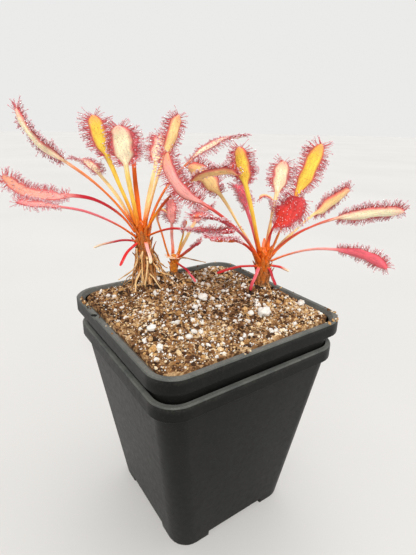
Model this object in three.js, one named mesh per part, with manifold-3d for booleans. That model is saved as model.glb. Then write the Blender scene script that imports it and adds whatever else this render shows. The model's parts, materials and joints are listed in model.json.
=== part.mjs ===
// Potted sundew: a square plastic nursery pot standing inside a second one, peat with perlite,
// two large rosettes of strap-shaped sundew leaves on short woody stems, and a plantlet between them.
// Millimetres, +Z up. The pots share one upright axis, x = y = 0, and the outer pot stands on z = 0.

import * as THREE from "three";
import Module from "manifold-3d";
import { mergeVertices } from "three/addons/utils/BufferGeometryUtils.js";

// ---------------------------------------------------------------- driving dimensions

const GAP = 0.3; // clearance kept between neighbouring pieces

// Each pot: widths are outside widths of its square plan, heights are above its own feet.
const OUTER_POT = {
  height: 88.6,
  rimWidth: 87.5,
  rimRadius: 11,
  bodyTopWidth: 83.5,
  baseWidth: 61.6,
  bodyRadius: 9,
  standsAt: 0,
};
const INNER_POT = {
  height: 96.2,
  rimWidth: 90,
  rimRadius: 11,
  bodyTopWidth: 84,
  baseWidth: 57,
  bodyRadius: 8.5,
  standsAt: 4.8,
};
const POT_ARC_STEPS = 8; // steps round each corner of a pot
const WALL = 1.1; // thickness of a pot's wall
const LIP = 2.2; // width of the flat top of a rim
const COLLAR_DEPTH = 6; // height of the skirt that hangs from a rim
const FLOOR = 4.5; // from a pot's feet to the inside of its floor
const CHANNEL = 3.2; // height of the drain channels that cross under a pot's floor
const CHANNEL_SHARE = 0.5; // a channel's width as a share of the base width
const DRAIN_SLOT = { length: 12, width: 3.4, inset: 8 };
const RIM_NICK = { y: 14, width: 3.2, depth: 1.2 }; // a chip in the edge of the inner rim

const SOIL_LEVEL = 99.7;
const SOIL_MOUNDS = [
  { x: -9, y: 32, rise: 5.3, spread: 12 },
  { x: 33, y: -2, rise: 4.1, spread: 11 },
  { x: 8, y: 33, rise: 2.7, spread: 9 },
  { x: 28, y: -30, rise: 1.2, spread: 14 },
  { x: -26, y: 4, rise: 0.6, spread: 16 },
];
const PLANTING_DEPTH = 3; // how far a stem reaches into the soil

const LEAF_THICKNESS = 0.9;
const LEAF_TROUGH = 0.16; // how far a leaf's edges stand above its middle, as a share of its width
const LEAF_SIDES = 8; // points round a leaf's section

// Each plant: its stem stands at x, y, leans by lean, and ends in a dome that carries the leaves.
// A leaf leaves the dome at `up` mm above its shoulder, towards `heading` (degrees from +X). It
// climbs at `rise` degrees, bends by `arch` along its stalk and by `curl` along its blade, and
// twists about its own middle line by `roll`. stalk, blade and width are in mm.
const PLANTS = [
  {
    name: "left",
    x: -9.4,
    y: 32.2,
    lean: [-2.6, 2.3],
    radius: 2.9,
    shoulder: 127.5,
    dome: 6,
    leaves: [
      { heading: 150, rise: 56, arch: -27, stalk: 42, blade: 29, curl: 66, width: 7, up: 2.4, roll: 40 },
      { heading: 163, rise: 56, arch: -60, stalk: 34, blade: 29, curl: 70, width: 6.4, up: 0.4, roll: -35 },
      { heading: 178, rise: 40, arch: -32, stalk: 37, blade: 17, curl: 12, width: 5, up: -1.8, roll: -15 },
      { heading: 120, rise: 60, arch: -22, stalk: 31, blade: 16, curl: -40, width: 7, up: 0.6 },
      { heading: 174, rise: 72, arch: -3, stalk: 32, blade: 18, curl: 15, width: 6.5, up: 4, roll: 65 },
      { heading: 128, rise: 68, arch: -8, stalk: 33, blade: 16, curl: 20, width: 6, up: 4.4 },
      { heading: 214, rise: 76, arch: 0, stalk: 29, blade: 17, curl: 0, width: 9, up: 3, roll: 20 },
      { heading: 80, rise: 79, arch: -3, stalk: 27, blade: 14, curl: 0, width: 6, up: 5 },
      { heading: -20, rise: 75, arch: -8, stalk: 30, blade: 20, curl: 10, width: 5.5, up: 4.9, roll: -70 },
      { heading: 36, rise: 67, arch: -10, stalk: 30, blade: 17, curl: -15, width: 8, up: 2.8 },
      { heading: -10, rise: 68, arch: -36, stalk: 38, blade: 29, curl: -30, width: 7, up: 2 },
      { heading: -54, rise: 59, arch: -31, stalk: 30, blade: 24, curl: -44, width: 6.5, up: 2.2, roll: -20 },
      { heading: -64, rise: 27, arch: -28, stalk: 21, blade: 25, curl: 20, width: 5.5, up: -1 },
    ],
    cutStalks: [
      { heading: 160, rise: 8, arch: -36, stalk: 20, width: 2.4, up: -4 },
      { heading: -160, rise: -20, arch: -35, stalk: 15, width: 2, up: -4 },
      { heading: -100, rise: -30, arch: -50, stalk: 11, width: 2.2, up: -4 },
    ],
  },
  {
    name: "right",
    x: 33.3,
    y: -2.3,
    lean: [0.2, 0.4],
    radius: 3.1,
    shoulder: 117,
    dome: 6,
    leaves: [
      { heading: -25, rise: 43, arch: -38, stalk: 36, blade: 34, curl: -2, width: 7, up: 1.4, roll: -60 },
      { heading: -3, rise: 43, arch: -22, stalk: 33, blade: 25, curl: 10, width: 8, up: -0.8, roll: -70 },
      { heading: -55, rise: 30, arch: -33, stalk: 30, blade: 23, curl: -34, width: 5, up: -0.8, roll: -70 },
      { heading: -35, rise: 71, arch: -3, stalk: 28, blade: 24, curl: 4, width: 6.5, up: 3.2, roll: -95 },
      { heading: -78, rise: 98, arch: -50, stalk: 12, blade: 20, curl: -8, width: 10, up: 4.6, roll: 100 },
      { heading: 22, rise: 78, arch: -10, stalk: 26, blade: 15, curl: 12, width: 7, up: 4.2, roll: -150 },
      { heading: 140, rise: 80, arch: -10, stalk: 30, blade: 12, curl: -80, width: 5, up: 4.6, roll: 60 },
      { heading: 188, rise: 70, arch: 0, stalk: 33, blade: 17, curl: 6, width: 6, up: 3.8, roll: 22 },
      { heading: -20, rise: 87, arch: 0, stalk: 17, blade: 12, curl: 170, width: 2.6, up: 6 },
      { heading: 165, rise: 52, arch: -24, stalk: 37, blade: 28, curl: 80, width: 4.8, up: 2.2, roll: 70 },
      { heading: 187, rise: 54, arch: -30, stalk: 30, blade: 18, curl: -24, width: 5, up: 0.6 },
      { heading: 199, rise: 48, arch: -34, stalk: 26, blade: 18, curl: 0, width: 6, up: -1 },
      { heading: 130, rise: 60, arch: -10, stalk: 33, blade: 20, curl: -35, width: 8.5, up: 0.8, roll: 70 },
      { heading: 100, rise: 70, arch: -10, stalk: 20, blade: 14, curl: -20, width: 8, up: 2.6 },
    ],
    cutStalks: [
      { heading: 180, rise: 12, arch: -24, stalk: 23, width: 1.8, up: -3.2 },
      { heading: -45, rise: -6, arch: -20, stalk: 9, width: 2.4, up: -3.2 },
      { heading: -158, rise: -40, arch: -25, stalk: 12, width: 2, up: -3.4 },
      { heading: -90, rise: -45, arch: -20, stalk: 9, width: 2.2, up: -3.4 },
    ],
  },
  {
    name: "plantlet",
    x: 5.8,
    y: 35,
    lean: [0.2, 0.2],
    radius: 2,
    shoulder: 111,
    dome: 3,
    leaves: [
      { heading: 165, rise: 74, arch: 2, stalk: 20, blade: 11, curl: 260, width: 2.4, up: 1.2 },
      { heading: 75, rise: 84, arch: 0, stalk: 15, blade: 13, curl: -15, width: 5, up: 2.4 },
      { heading: -20, rise: 76, arch: 0, stalk: 11, blade: 7, curl: 0, width: 3, up: 2.2 },
      { heading: -38, rise: 42, arch: 0, stalk: 11, blade: 5, curl: 10, width: 3, up: 0.2 },
      { heading: -74, rise: 40, arch: -6, stalk: 13, blade: 6, curl: 0, width: 3, up: 0.9 },
      { heading: -90, rise: 0, arch: -20, stalk: 12, blade: 7, curl: -10, width: 1.6, up: -1.4 },
      { heading: 15, rise: 54, arch: -14, stalk: 20, blade: 14, curl: -20, width: 7, up: 0.6 },
    ],
    cutStalks: [],
  },
];

// Shrivelled leaf stalks hang from the left stem, and a root arches out of the peat beside the
// plantlet. Points are x, y, z.
const DEAD_STRANDS = [
  { width: 1.3, points: [[-15.5, 32, 121], [-16, 31.5, 115], [-18.5, 33, 110], [-24, 37, 105]] },
  { width: 2, points: [[-15, 29.6, 118], [-15.2, 27.6, 111], [-17, 23, 105.4]] },
  { width: 1.2, points: [[-9.2, 28.4, 118], [-6, 27.6, 113], [-1.2, 28.6, 109.6]] },
  { width: 1.2, points: [[-9.6, 27.6, 113.6], [-6.4, 24.6, 109], [-0.8, 24.2, 106.4]] },
  { width: 1, points: [[9, 37, 107.6], [14, 40, 108.6], [20, 40, 107], [27, 37, 104.6]] },
];

// The largest grains of perlite, lying on the peat.
const PERLITE = [
  { x: 16, y: -24, size: 5 },
  { x: -30, y: -10, size: 4 },
  { x: 3, y: 3, size: 4 },
  { x: 38, y: -24, size: 3.6 },
];

// ---------------------------------------------------------------- colours and finishes

const FINISHES = {
  pot: { color: 0x161617, roughness: 0.45, metalness: 0 },
  soil: { color: 0x3a2a1e, roughness: 0.95, metalness: 0 },
  perlite: { color: 0xd8d3c6, roughness: 0.85, metalness: 0 },
  stem: { color: 0x4a2e1c, roughness: 0.9, metalness: 0 },
  leaf: { color: 0xc8503c, roughness: 0.4, metalness: 0 },
  dead: { color: 0x9a7748, roughness: 0.8, metalness: 0 },
};

// ---------------------------------------------------------------- solids

const wasm = await Module();
wasm.setup();

function toSolid(geometry) {
  const bare = geometry.clone();
  bare.deleteAttribute("normal");
  bare.deleteAttribute("uv");
  const merged = mergeVertices(bare, 1e-4);
  return new wasm.Manifold(new wasm.Mesh({
    numProp: 3,
    vertProperties: new Float32Array(merged.attributes.position.array),
    triVerts: new Uint32Array(merged.index.array),
  }));
}

function toGeometry(solid) {
  const mesh = solid.getMesh();
  const geometry = new THREE.BufferGeometry();
  geometry.setAttribute("position", new THREE.BufferAttribute(mesh.vertProperties, 3));
  geometry.setIndex(new THREE.BufferAttribute(mesh.triVerts, 1));
  geometry.computeVertexNormals();
  return geometry;
}

function piece(name, geometry, finish) {
  const mesh = new THREE.Mesh(geometry, new THREE.MeshStandardMaterial(FINISHES[finish]));
  mesh.name = name;
  return mesh;
}

// A closed skin over a stack of rings with equal numbers of points. The first and last rings are
// closed by fans to the two poles. Rings run anticlockwise about the direction of travel.
function loft(rings, startPole, endPole) {
  const count = rings[0].length;
  const points = [startPole, ...rings.flat(), endPole];
  const last = points.length - 1;
  const at = (ring, k) => 1 + ring * count + (k % count);
  const triangles = [];
  for (let k = 0; k < count; k += 1) {
    triangles.push(0, at(0, k + 1), at(0, k));
    for (let ring = 0; ring + 1 < rings.length; ring += 1) {
      triangles.push(at(ring, k), at(ring, k + 1), at(ring + 1, k + 1));
      triangles.push(at(ring, k), at(ring + 1, k + 1), at(ring + 1, k));
    }
    triangles.push(last, at(rings.length - 1, k), at(rings.length - 1, k + 1));
  }
  const geometry = new THREE.BufferGeometry().setFromPoints(points);
  geometry.setIndex(triangles);
  geometry.computeVertexNormals();
  return geometry;
}

// ---------------------------------------------------------------- pots

// A square outline with rounded corners, anticlockwise from above. Each corner is arcSteps steps and
// each straight side sideSteps steps.
function roundedSquare(width, radius, z, arcSteps, sideSteps = 1) {
  const reach = width / 2 - radius;
  const ring = [];
  for (let corner = 0; corner < 4; corner += 1) {
    const start = (corner * Math.PI) / 2;
    const centre = new THREE.Vector2(reach, reach).rotateAround(new THREE.Vector2(), start);
    for (let step = 0; step <= arcSteps; step += 1) {
      const angle = start + (step / arcSteps) * (Math.PI / 2);
      const x = centre.x + radius * Math.cos(angle);
      ring.push(new THREE.Vector3(x, centre.y + radius * Math.sin(angle), z));
    }
    const along = new THREE.Vector3(Math.cos(start + Math.PI), Math.sin(start + Math.PI), 0);
    const from = ring[ring.length - 1];
    for (let step = 1; step < sideSteps; step += 1) {
      ring.push(from.clone().addScaledVector(along, (step / sideSteps) * 2 * reach));
    }
  }
  return ring;
}

function box(width, depth, height, x, y, z) {
  return toSolid(new THREE.BoxGeometry(width, depth, height).translate(x, y, z));
}

// The outside width of a pot's tapered body at a height above its feet.
function bodyWidth(pot, height) {
  const share = height / (pot.height - COLLAR_DEPTH);
  return THREE.MathUtils.lerp(pot.baseWidth, pot.bodyTopWidth, share);
}

// The thin wall goes up the outside, out under the rim, round the skirt and lip, and down the inside.
function potShell(pot) {
  const { height, rimWidth, rimRadius, baseWidth, bodyRadius } = pot;
  const skirtFoot = height - COLLAR_DEPTH;
  const underLip = height - WALL;
  const edge = 0.5; // the rim's rounded edge
  const shelf = bodyWidth(pot, skirtFoot) + 0.6;
  const square = (width, radius, z) => roundedSquare(width, radius, z, POT_ARC_STEPS);
  const rings = [
    square(baseWidth - 2 * edge, bodyRadius - edge, 0),
    square(baseWidth, bodyRadius, edge),
    square(bodyWidth(pot, skirtFoot), bodyRadius, skirtFoot),
    square(shelf, bodyRadius, underLip),
    square(rimWidth - 2 * WALL, rimRadius - WALL, underLip),
    square(rimWidth - 2 * WALL, rimRadius - WALL, skirtFoot),
    square(rimWidth, rimRadius, skirtFoot),
    square(rimWidth, rimRadius, height - edge),
    square(rimWidth - 2 * edge, rimRadius - edge, height),
    square(rimWidth - 2 * LIP, rimRadius - LIP, height),
    square(shelf - 2 * WALL, bodyRadius - WALL, underLip - edge),
    square(bodyWidth(pot, skirtFoot) - 2 * WALL, bodyRadius - WALL, skirtFoot),
    square(bodyWidth(pot, FLOOR) - 2 * WALL, bodyRadius - WALL, FLOOR),
  ];
  return toSolid(loft(rings, new THREE.Vector3(0, 0, 0), new THREE.Vector3(0, 0, FLOOR)));
}

// Two channels cross under the floor and leave four corner feet. A slot drains into each arm.
function drained(shell, pot) {
  const channel = pot.baseWidth * CHANNEL_SHARE;
  const long = pot.baseWidth * 2;
  const { length, width, inset } = DRAIN_SLOT;
  const slotAt = pot.baseWidth / 2 - inset;
  let solid = shell;
  solid = solid.subtract(box(long, channel, 2 * CHANNEL, 0, 0, 0));
  solid = solid.subtract(box(channel, long, 2 * CHANNEL, 0, 0, 0));
  for (const side of [-1, 1]) {
    solid = solid.subtract(box(width, length, 3 * FLOOR, side * slotAt, 0, 0));
    solid = solid.subtract(box(length, width, 3 * FLOOR, 0, side * slotAt, 0));
  }
  return solid;
}

function outerPot() {
  return piece("outer_pot", toGeometry(drained(potShell(OUTER_POT), OUTER_POT)), "pot");
}

function innerPot() {
  const { width, depth, y } = RIM_NICK;
  const nick = new THREE.BoxGeometry(width, width, 2 * depth);
  nick.rotateZ(Math.PI / 4);
  nick.translate(-INNER_POT.rimWidth / 2, y, INNER_POT.height);
  const solid = drained(potShell(INNER_POT), INNER_POT).subtract(toSolid(nick));
  const mesh = piece("inner_pot", toGeometry(solid), "pot");
  mesh.position.z = INNER_POT.standsAt;
  return mesh;
}

// ---------------------------------------------------------------- soil

// The soil is heaped round the plants and settles lower along the pot's wall.
function soilHeight(x, y) {
  const nearWall = THREE.MathUtils.smoothstep(Math.max(Math.abs(x), Math.abs(y)), 31, 41);
  let z = SOIL_LEVEL;
  z += 0.5 * Math.sin(x * 0.21 + 1.3) * Math.cos(y * 0.17 - 0.4);
  z += 0.35 * Math.sin(x * 0.11 - y * 0.19 + 2.1);
  for (const mound of SOIL_MOUNDS) {
    const away = Math.hypot(x - mound.x, y - mound.y) / mound.spread;
    z += mound.rise * Math.exp(-away * away) * (1 - 0.7 * nearWall);
  }
  return z;
}

function stemFoot(plant) {
  return soilHeight(plant.x, plant.y) - PLANTING_DEPTH;
}

function soil() {
  const arcSteps = 4;
  const sideSteps = 5;
  const clear = 2 * (WALL + GAP + 0.1);
  const radius = INNER_POT.bodyRadius - WALL - GAP;
  const floorWidth = bodyWidth(INNER_POT, FLOOR) - clear;
  const topWidth = INNER_POT.bodyTopWidth - clear;
  const floorZ = INNER_POT.standsAt + FLOOR + GAP;
  const rings = [roundedSquare(floorWidth, radius, floorZ, arcSteps, sideSteps)];
  for (const share of [1, 0.95, 0.84, 0.73, 0.61, 0.49, 0.37, 0.25, 0.12]) {
    const ring = roundedSquare(topWidth * share, radius * share, 0, arcSteps, sideSteps);
    ring.forEach((point) => point.setZ(soilHeight(point.x, point.y)));
    rings.push(ring);
  }
  const bottom = new THREE.Vector3(0, 0, floorZ);
  const middle = new THREE.Vector3(0, 0, soilHeight(0, 0));
  let solid = toSolid(loft(rings, bottom, middle));
  for (const plant of PLANTS) {
    const hole = new THREE.CylinderGeometry(plant.radius + 2 * GAP, plant.radius + 2 * GAP, 40, 16);
    hole.rotateX(Math.PI / 2);
    hole.translate(plant.x, plant.y, stemFoot(plant) - GAP + 20);
    solid = solid.subtract(toSolid(hole));
  }
  return piece("potting_soil", toGeometry(solid), "soil");
}

function perliteGrain({ x, y, size }, index) {
  const grain = new THREE.IcosahedronGeometry(size / 2, 1);
  grain.scale(1, 0.8, 0.62);
  const mesh = piece(`perlite_0${index + 1}`, grain, "perlite");
  mesh.rotation.z = 1.7 * index;
  mesh.position.set(x, y, soilHeight(x, y) + 0.31 * size + 2 * GAP);
  return mesh;
}

function deadStrand({ width, points }, index) {
  const path = new THREE.CatmullRomCurve3(points.map((point) => new THREE.Vector3(...point)));
  const outline = new THREE.Shape().absellipse(0, 0, width / 2, width / 4, 0, 2 * Math.PI);
  const geometry = new THREE.ExtrudeGeometry(outline, { steps: 7, curveSegments: 3, extrudePath: path });
  return piece(`dead_strand_0${index + 1}`, geometry, "dead");
}

// ---------------------------------------------------------------- plants

function stemCentre(plant, z) {
  const foot = stemFoot(plant);
  const share = (z - foot) / (plant.shoulder + plant.dome - foot);
  return new THREE.Vector3(plant.x + plant.lean[0] * share, plant.y + plant.lean[1] * share, z);
}

// A stem: a rough column from its planting hole up to a low dome.
function crown(plant) {
  const foot = stemFoot(plant);
  const sides = 10;
  const levels = [0, 0.3, 0.6, 0.8, 1].map((share) => THREE.MathUtils.lerp(foot, plant.shoulder, share));
  const rings = levels.map((z, level) => stemRing(plant, z, plant.radius * (1 - 0.05 * (level % 2)), sides));
  for (const share of [0.45, 0.8]) {
    const radius = plant.radius * Math.sqrt(1 - share * share);
    rings.push(stemRing(plant, plant.shoulder + plant.dome * share, radius, sides));
  }
  const top = stemCentre(plant, plant.shoulder + plant.dome);
  return piece(`${plant.name}_crown`, loft(rings, stemCentre(plant, foot), top), "stem");
}

function stemRing(plant, z, radius, sides) {
  const centre = stemCentre(plant, z);
  return Array.from({ length: sides }, (_, k) => {
    const angle = (k / sides) * 2 * Math.PI;
    return centre.clone().add(new THREE.Vector3(radius * Math.cos(angle), radius * Math.sin(angle), 0));
  });
}

// The leaf's half width: a narrow stalk, then a strap-shaped blade with a round tip.
function halfWidth(leaf, share) {
  const stalk = Math.min(leaf.width, leaf.width > 5 ? 2.2 : 1.6) / 2;
  if (share <= 0 || !leaf.blade) {
    return stalk * (1 + 0.3 * Math.max(0, -share - 0.7));
  }
  const widened = THREE.MathUtils.lerp(stalk, leaf.width / 2, THREE.MathUtils.smoothstep(share, 0, 0.35));
  const roundedTip = Math.sqrt(1 - Math.max(0, (share - 0.75) / 0.25) ** 2);
  return widened * Math.max(roundedTip, 0.3);
}

// A leaf grows in its own frame: from the origin towards +X, its upper face towards +Z. The middle
// line is walked in short steps, turning a little at each, and a trough-shaped section rides on it.
function leafGeometry(leaf) {
  const stalkSteps = leaf.blade ? 4 : 5;
  const bladeSteps = leaf.blade ? 8 : 0;
  const steps = stalkSteps + bladeSteps;
  const length = leaf.stalk + (leaf.blade ?? 0);
  const centre = new THREE.Vector3();
  const rings = [];
  for (let step = 0; step <= steps; step += 1) {
    const onStalk = Math.min(step / stalkSteps, 1);
    const onBlade = bladeSteps ? Math.max((step - stalkSteps) / bladeSteps, 0) : 0;
    const climb = leaf.rise + leaf.arch * onStalk + (leaf.curl ?? 0) * onBlade ** 1.5;
    const along = (leaf.stalk * onStalk + (leaf.blade ?? 0) * onBlade) / length;
    const twist = (leaf.roll ?? 0) * THREE.MathUtils.smoothstep(along, 0.1, 0.7);
    const tilt = THREE.MathUtils.degToRad(climb);
    const ahead = new THREE.Vector3(Math.cos(tilt), 0, Math.sin(tilt));
    const side = new THREE.Vector3(0, 1, 0).applyAxisAngle(ahead, THREE.MathUtils.degToRad(twist));
    const up = new THREE.Vector3().crossVectors(ahead, side);
    const stride = step < stalkSteps ? leaf.stalk / stalkSteps : (leaf.blade ?? 0) / bladeSteps;
    const half = halfWidth(leaf, onBlade > 0 ? onBlade : onStalk - 1);
    rings.push(leafSection(centre, side, up, half));
    if (step < steps) {
      centre.addScaledVector(ahead, stride);
    }
  }
  return loft(rings, middleOf(rings[0]), middleOf(rings[steps]));
}

function leafSection(centre, side, up, half) {
  return Array.from({ length: LEAF_SIDES }, (_, k) => {
    const angle = (k / LEAF_SIDES) * 2 * Math.PI;
    const across = half * Math.cos(angle);
    const thickness = Math.min(LEAF_THICKNESS, 1.2 * half);
    const lift = 0.5 * thickness * Math.sin(angle) + 2 * LEAF_TROUGH * half * Math.cos(angle) ** 2;
    return centre.clone().addScaledVector(side, across).addScaledVector(up, lift);
  });
}

function middleOf(ring) {
  const sum = ring.reduce((total, point) => total.add(point), new THREE.Vector3());
  return sum.divideScalar(ring.length);
}

// Puts a leaf on the stem: on the dome above the shoulder, or on the column below it.
function attached(plant, leaf, name) {
  const mesh = piece(name, leafGeometry(leaf), "leaf");
  const z = plant.shoulder + leaf.up;
  const share = Math.max(leaf.up, 0) / (plant.dome + 0.5);
  const standOff = 0.35 * LEAF_THICKNESS + GAP;
  const out = plant.radius * Math.sqrt(1 - share * share) + standOff;
  const heading = THREE.MathUtils.degToRad(leaf.heading);
  mesh.position.copy(stemCentre(plant, z));
  mesh.position.add(new THREE.Vector3(out * Math.cos(heading), out * Math.sin(heading), 0));
  mesh.rotation.z = heading;
  return mesh;
}

function twoDigits(index) {
  return String(index + 1).padStart(2, "0");
}

function plantGroup(plant) {
  const group = new THREE.Group();
  group.add(crown(plant));
  plant.leaves.forEach((leaf, index) => {
    group.add(attached(plant, leaf, `${plant.name}_leaf_${twoDigits(index)}`));
  });
  plant.cutStalks.forEach((stalk, index) => {
    group.add(attached(plant, stalk, `${plant.name}_cut_stalk_${twoDigits(index)}`));
  });
  return group;
}

// ---------------------------------------------------------------- assembly

const group = new THREE.Group();
group.add(outerPot(), innerPot(), soil());
group.add(...PERLITE.map(perliteGrain), ...DEAD_STRANDS.map(deadStrand));
group.add(...PLANTS.map(plantGroup));

// The part's origin is the centre of the bottom of its bounding box.
const bounds = new THREE.Box3().setFromObject(group, true);
const centre = bounds.getCenter(new THREE.Vector3());
group.position.set(-centre.x, -centre.y, -bounds.min.z);

export default group;
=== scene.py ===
"""Looks of the potted sundew: two nested nursery pots, peat with perlite, and sticky-leaved plants.

Everything is in metres in the row's frame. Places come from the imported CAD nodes.
"""

import json
import math
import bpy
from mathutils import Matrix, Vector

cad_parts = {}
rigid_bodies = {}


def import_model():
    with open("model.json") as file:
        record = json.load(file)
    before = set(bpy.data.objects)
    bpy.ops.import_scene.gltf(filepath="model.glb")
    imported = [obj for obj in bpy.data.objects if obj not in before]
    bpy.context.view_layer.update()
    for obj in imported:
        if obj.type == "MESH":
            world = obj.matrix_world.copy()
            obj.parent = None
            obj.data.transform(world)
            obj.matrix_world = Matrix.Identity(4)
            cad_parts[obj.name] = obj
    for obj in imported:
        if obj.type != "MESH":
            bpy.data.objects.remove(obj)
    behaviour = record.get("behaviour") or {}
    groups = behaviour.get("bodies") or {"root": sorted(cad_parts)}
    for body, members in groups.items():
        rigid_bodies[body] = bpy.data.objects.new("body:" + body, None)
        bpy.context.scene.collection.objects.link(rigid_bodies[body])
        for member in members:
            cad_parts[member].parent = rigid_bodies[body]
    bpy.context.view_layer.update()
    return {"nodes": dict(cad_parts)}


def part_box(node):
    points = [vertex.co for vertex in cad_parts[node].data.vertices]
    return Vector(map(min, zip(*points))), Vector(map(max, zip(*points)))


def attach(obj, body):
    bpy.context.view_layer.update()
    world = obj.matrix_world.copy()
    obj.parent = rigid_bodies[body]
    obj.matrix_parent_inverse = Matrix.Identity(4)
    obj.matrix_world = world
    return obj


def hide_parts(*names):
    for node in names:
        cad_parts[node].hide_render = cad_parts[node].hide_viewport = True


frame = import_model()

import zlib

import bmesh
import bpy
import numpy as np
from mathutils import Matrix, Vector, noise
from mathutils.bvhtree import BVHTree

MM = 0.001
BODY = "root"
STRAP_SIDES = 8
ANY_PHASE = 6.28  # random phases lie under this

# ---------------------------------------------------------------- colours, linear

PALETTE = {
    "crimson": (0.50, 0.004, 0.022),
    "red": (0.72, 0.014, 0.018),
    "coral": (0.88, 0.060, 0.035),
    "pink": (0.84, 0.150, 0.190),
    "dusty_pink": (0.55, 0.110, 0.140),
    "pale_pink": (0.97, 0.450, 0.400),
    "orange": (0.88, 0.170, 0.012),
    "amber": (0.95, 0.360, 0.030),
    "yellow": (1.00, 0.680, 0.090),
    "cream": (1.00, 0.740, 0.330),
    "white_cream": (1.00, 0.890, 0.600),
    "tan": (0.78, 0.400, 0.160),
}

# Each leaf: the colours of its stalk, of its blade's upper face and of its back, how long its
# tentacles are beside a full-grown leaf's, and how far round its marginal tentacles lean outwards
# and back, in degrees from its upper face.
LEAF_LOOKS = {
    "left": [
        ("orange", "pale_pink", "white_cream", 1.35, 100),
        ("crimson", "pale_pink", "pale_pink", 1.0, 95),
        ("pink", "pale_pink", "pale_pink", 0.9, 100),
        ("cream", "white_cream", "white_cream", 0.9, 88),
        ("yellow", "coral", "yellow", 1.1, 85),
        ("cream", "pink", "cream", 0.9, 85),
        ("yellow", "pink", "white_cream", 1.0, 85),
        ("orange", "pink", "cream", 0.8, 80),
        ("cream", "coral", "cream", 0.95, 90),
        ("cream", "white_cream", "white_cream", 0.95, 85),
        ("orange", "white_cream", "white_cream", 1.1, 115),
        ("crimson", "pale_pink", "cream", 0.95, 90),
        ("red", "pink", "pink", 0.9, 90),
    ],
    "right": [
        ("red", "pale_pink", "white_cream", 1.0, 95),
        ("cream", "pale_pink", "cream", 0.95, 90),
        ("pale_pink", "pale_pink", "pink", 0.7, 85),
        ("orange", "pink", "yellow", 1.0, 85),
        ("crimson", "coral", "coral", 0.9, 75),
        ("cream", "pale_pink", "white_cream", 0.9, 85),
        ("orange", "pink", "orange", 0.9, 90),
        ("yellow", "pink", "yellow", 0.95, 88),
        ("cream", "pale_pink", "cream", 0.5, 80),
        ("red", "pale_pink", "pale_pink", 1.0, 90),
        ("dusty_pink", "pink", "dusty_pink", 0.9, 90),
        ("red", "coral", "orange", 0.9, 90),
        ("cream", "pale_pink", "cream", 0.95, 88),
        ("pink", "pink", "pink", 0.8, 85),
    ],
    "plantlet": [
        ("orange", "cream", "cream", 0.35, 80),
        ("pale_pink", "pale_pink", "amber", 0.7, 85),
        ("yellow", "pale_pink", "yellow", 0.5, 80),
        ("orange", "coral", "orange", 0.4, 80),
        ("pink", "pink", "pink", 0.4, 80),
        ("crimson", "pink", "crimson", 0.3, 80),
        ("cream", "pale_pink", "cream", 0.8, 85),
    ],
}

# Each cut stalk: its colour and the colour of its cut end.
CUT_LOOKS = {
    "left": [("crimson", "white_cream"), ("red", "red"), ("pale_pink", "white_cream")],
    "right": [("red", "red"), ("red", "white_cream"), ("pink", "crimson"), ("crimson", "crimson")],
}

# ---------------------------------------------------------------- small helpers


def random_for(name):
    """Random numbers that depend only on a name."""
    return np.random.default_rng(zlib.crc32(name.encode()))


def unit(vectors):
    """Vectors brought to length 1."""
    return vectors / np.maximum(np.linalg.norm(vectors, axis=-1, keepdims=True), 1e-12)


def circle(sides):
    """Angles of points evenly round a section."""
    return 2 * np.pi * np.arange(sides) / sides


def level(angle):
    """Level unit vectors at the given angles."""
    return np.stack([np.cos(angle), np.sin(angle), np.zeros_like(angle)], axis=-1)


def crosswise(direction, first):
    """Two unit vectors square to each direction, kept apart from an upright first one."""
    helper = np.where(np.abs(first[..., 2:]) > 0.8, [1.0, 0, 0], [0, 0, 1.0])
    side = unit(np.cross(direction, helper))
    return side, np.cross(side, direction)


def square_to(vectors, tangents):
    """Unit vectors with what runs along the tangents taken out."""
    return unit(vectors - (vectors * tangents).sum(axis=-1, keepdims=True) * tangents)


def cad_points(node):
    """Corners of a CAD node's triangles, (n, 3)."""
    mesh = frame["nodes"][node].data
    places = np.empty(3 * len(mesh.vertices))
    mesh.vertices.foreach_get("co", places)
    return places.reshape(-1, 3)


def cad_spots(node):
    """The distinct corners of a CAD node, told apart by the micrometre, and each vertex's corner."""
    keys, which = np.unique(np.round(cad_points(node) * 1e6).astype(int), axis=0, return_inverse=True)
    return keys * 1e-6, which.ravel()


def cad_tree(node):
    """A CAD node's surface, ready for rays."""
    mesh = frame["nodes"][node].data
    corners = [vertex.co.copy() for vertex in mesh.vertices]
    return BVHTree.FromPolygons(corners, [tuple(face.vertices) for face in mesh.polygons])


def height_below(tree, x, y, z):
    """Height of a surface straight below a point, or None."""
    hit = tree.ray_cast(Vector((x, y, z)), Vector((0, 0, -1)))[0]
    return hit.z if hit else None


def smooth_rows(rows, places):
    """Rows of points or values, read between rows on a Catmull-Rom curve."""
    rows = np.asarray(rows, float)
    last = len(rows) - 1
    low = np.clip(places.astype(int), 0, last - 1)
    t = (places - low)[:, None]
    a, b, c, d = (rows[np.clip(low + shift, 0, last)] for shift in (-1, 0, 1, 2))
    return 0.5 * (2 * b + (c - a) * t + (2 * a - 5 * b + 4 * c - d) * t**2
                  + (3 * b - a - 3 * c + d) * t**3)


def lofts(rings, feet, tips):
    """Closed skins over n stacks of k rings of m points, as vertices and a list of faces."""
    n, k, m, _ = rings.shape
    vertices = np.concatenate([feet[:, None], rings.reshape(n, k * m, 3), tips[:, None]], axis=1)
    ring = 1 + np.arange(k * m).reshape(k, m)
    after = np.roll(ring, -1, axis=1)
    walls = np.stack([ring[:-1], after[:-1], after[1:], ring[1:]], axis=-1).reshape(-1, 4)
    foot = np.stack([np.zeros(m, int), after[0], ring[0]], axis=-1)
    tip = np.stack([np.full(m, k * m + 1), ring[-1], after[-1]], axis=-1)
    fans = np.concatenate([foot, tip])
    start = (np.arange(n) * (k * m + 2))[:, None, None]
    faces = (walls + start).reshape(-1, 4).tolist() + (fans + start).reshape(-1, 3).tolist()
    return vertices.reshape(-1, 3), faces


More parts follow.
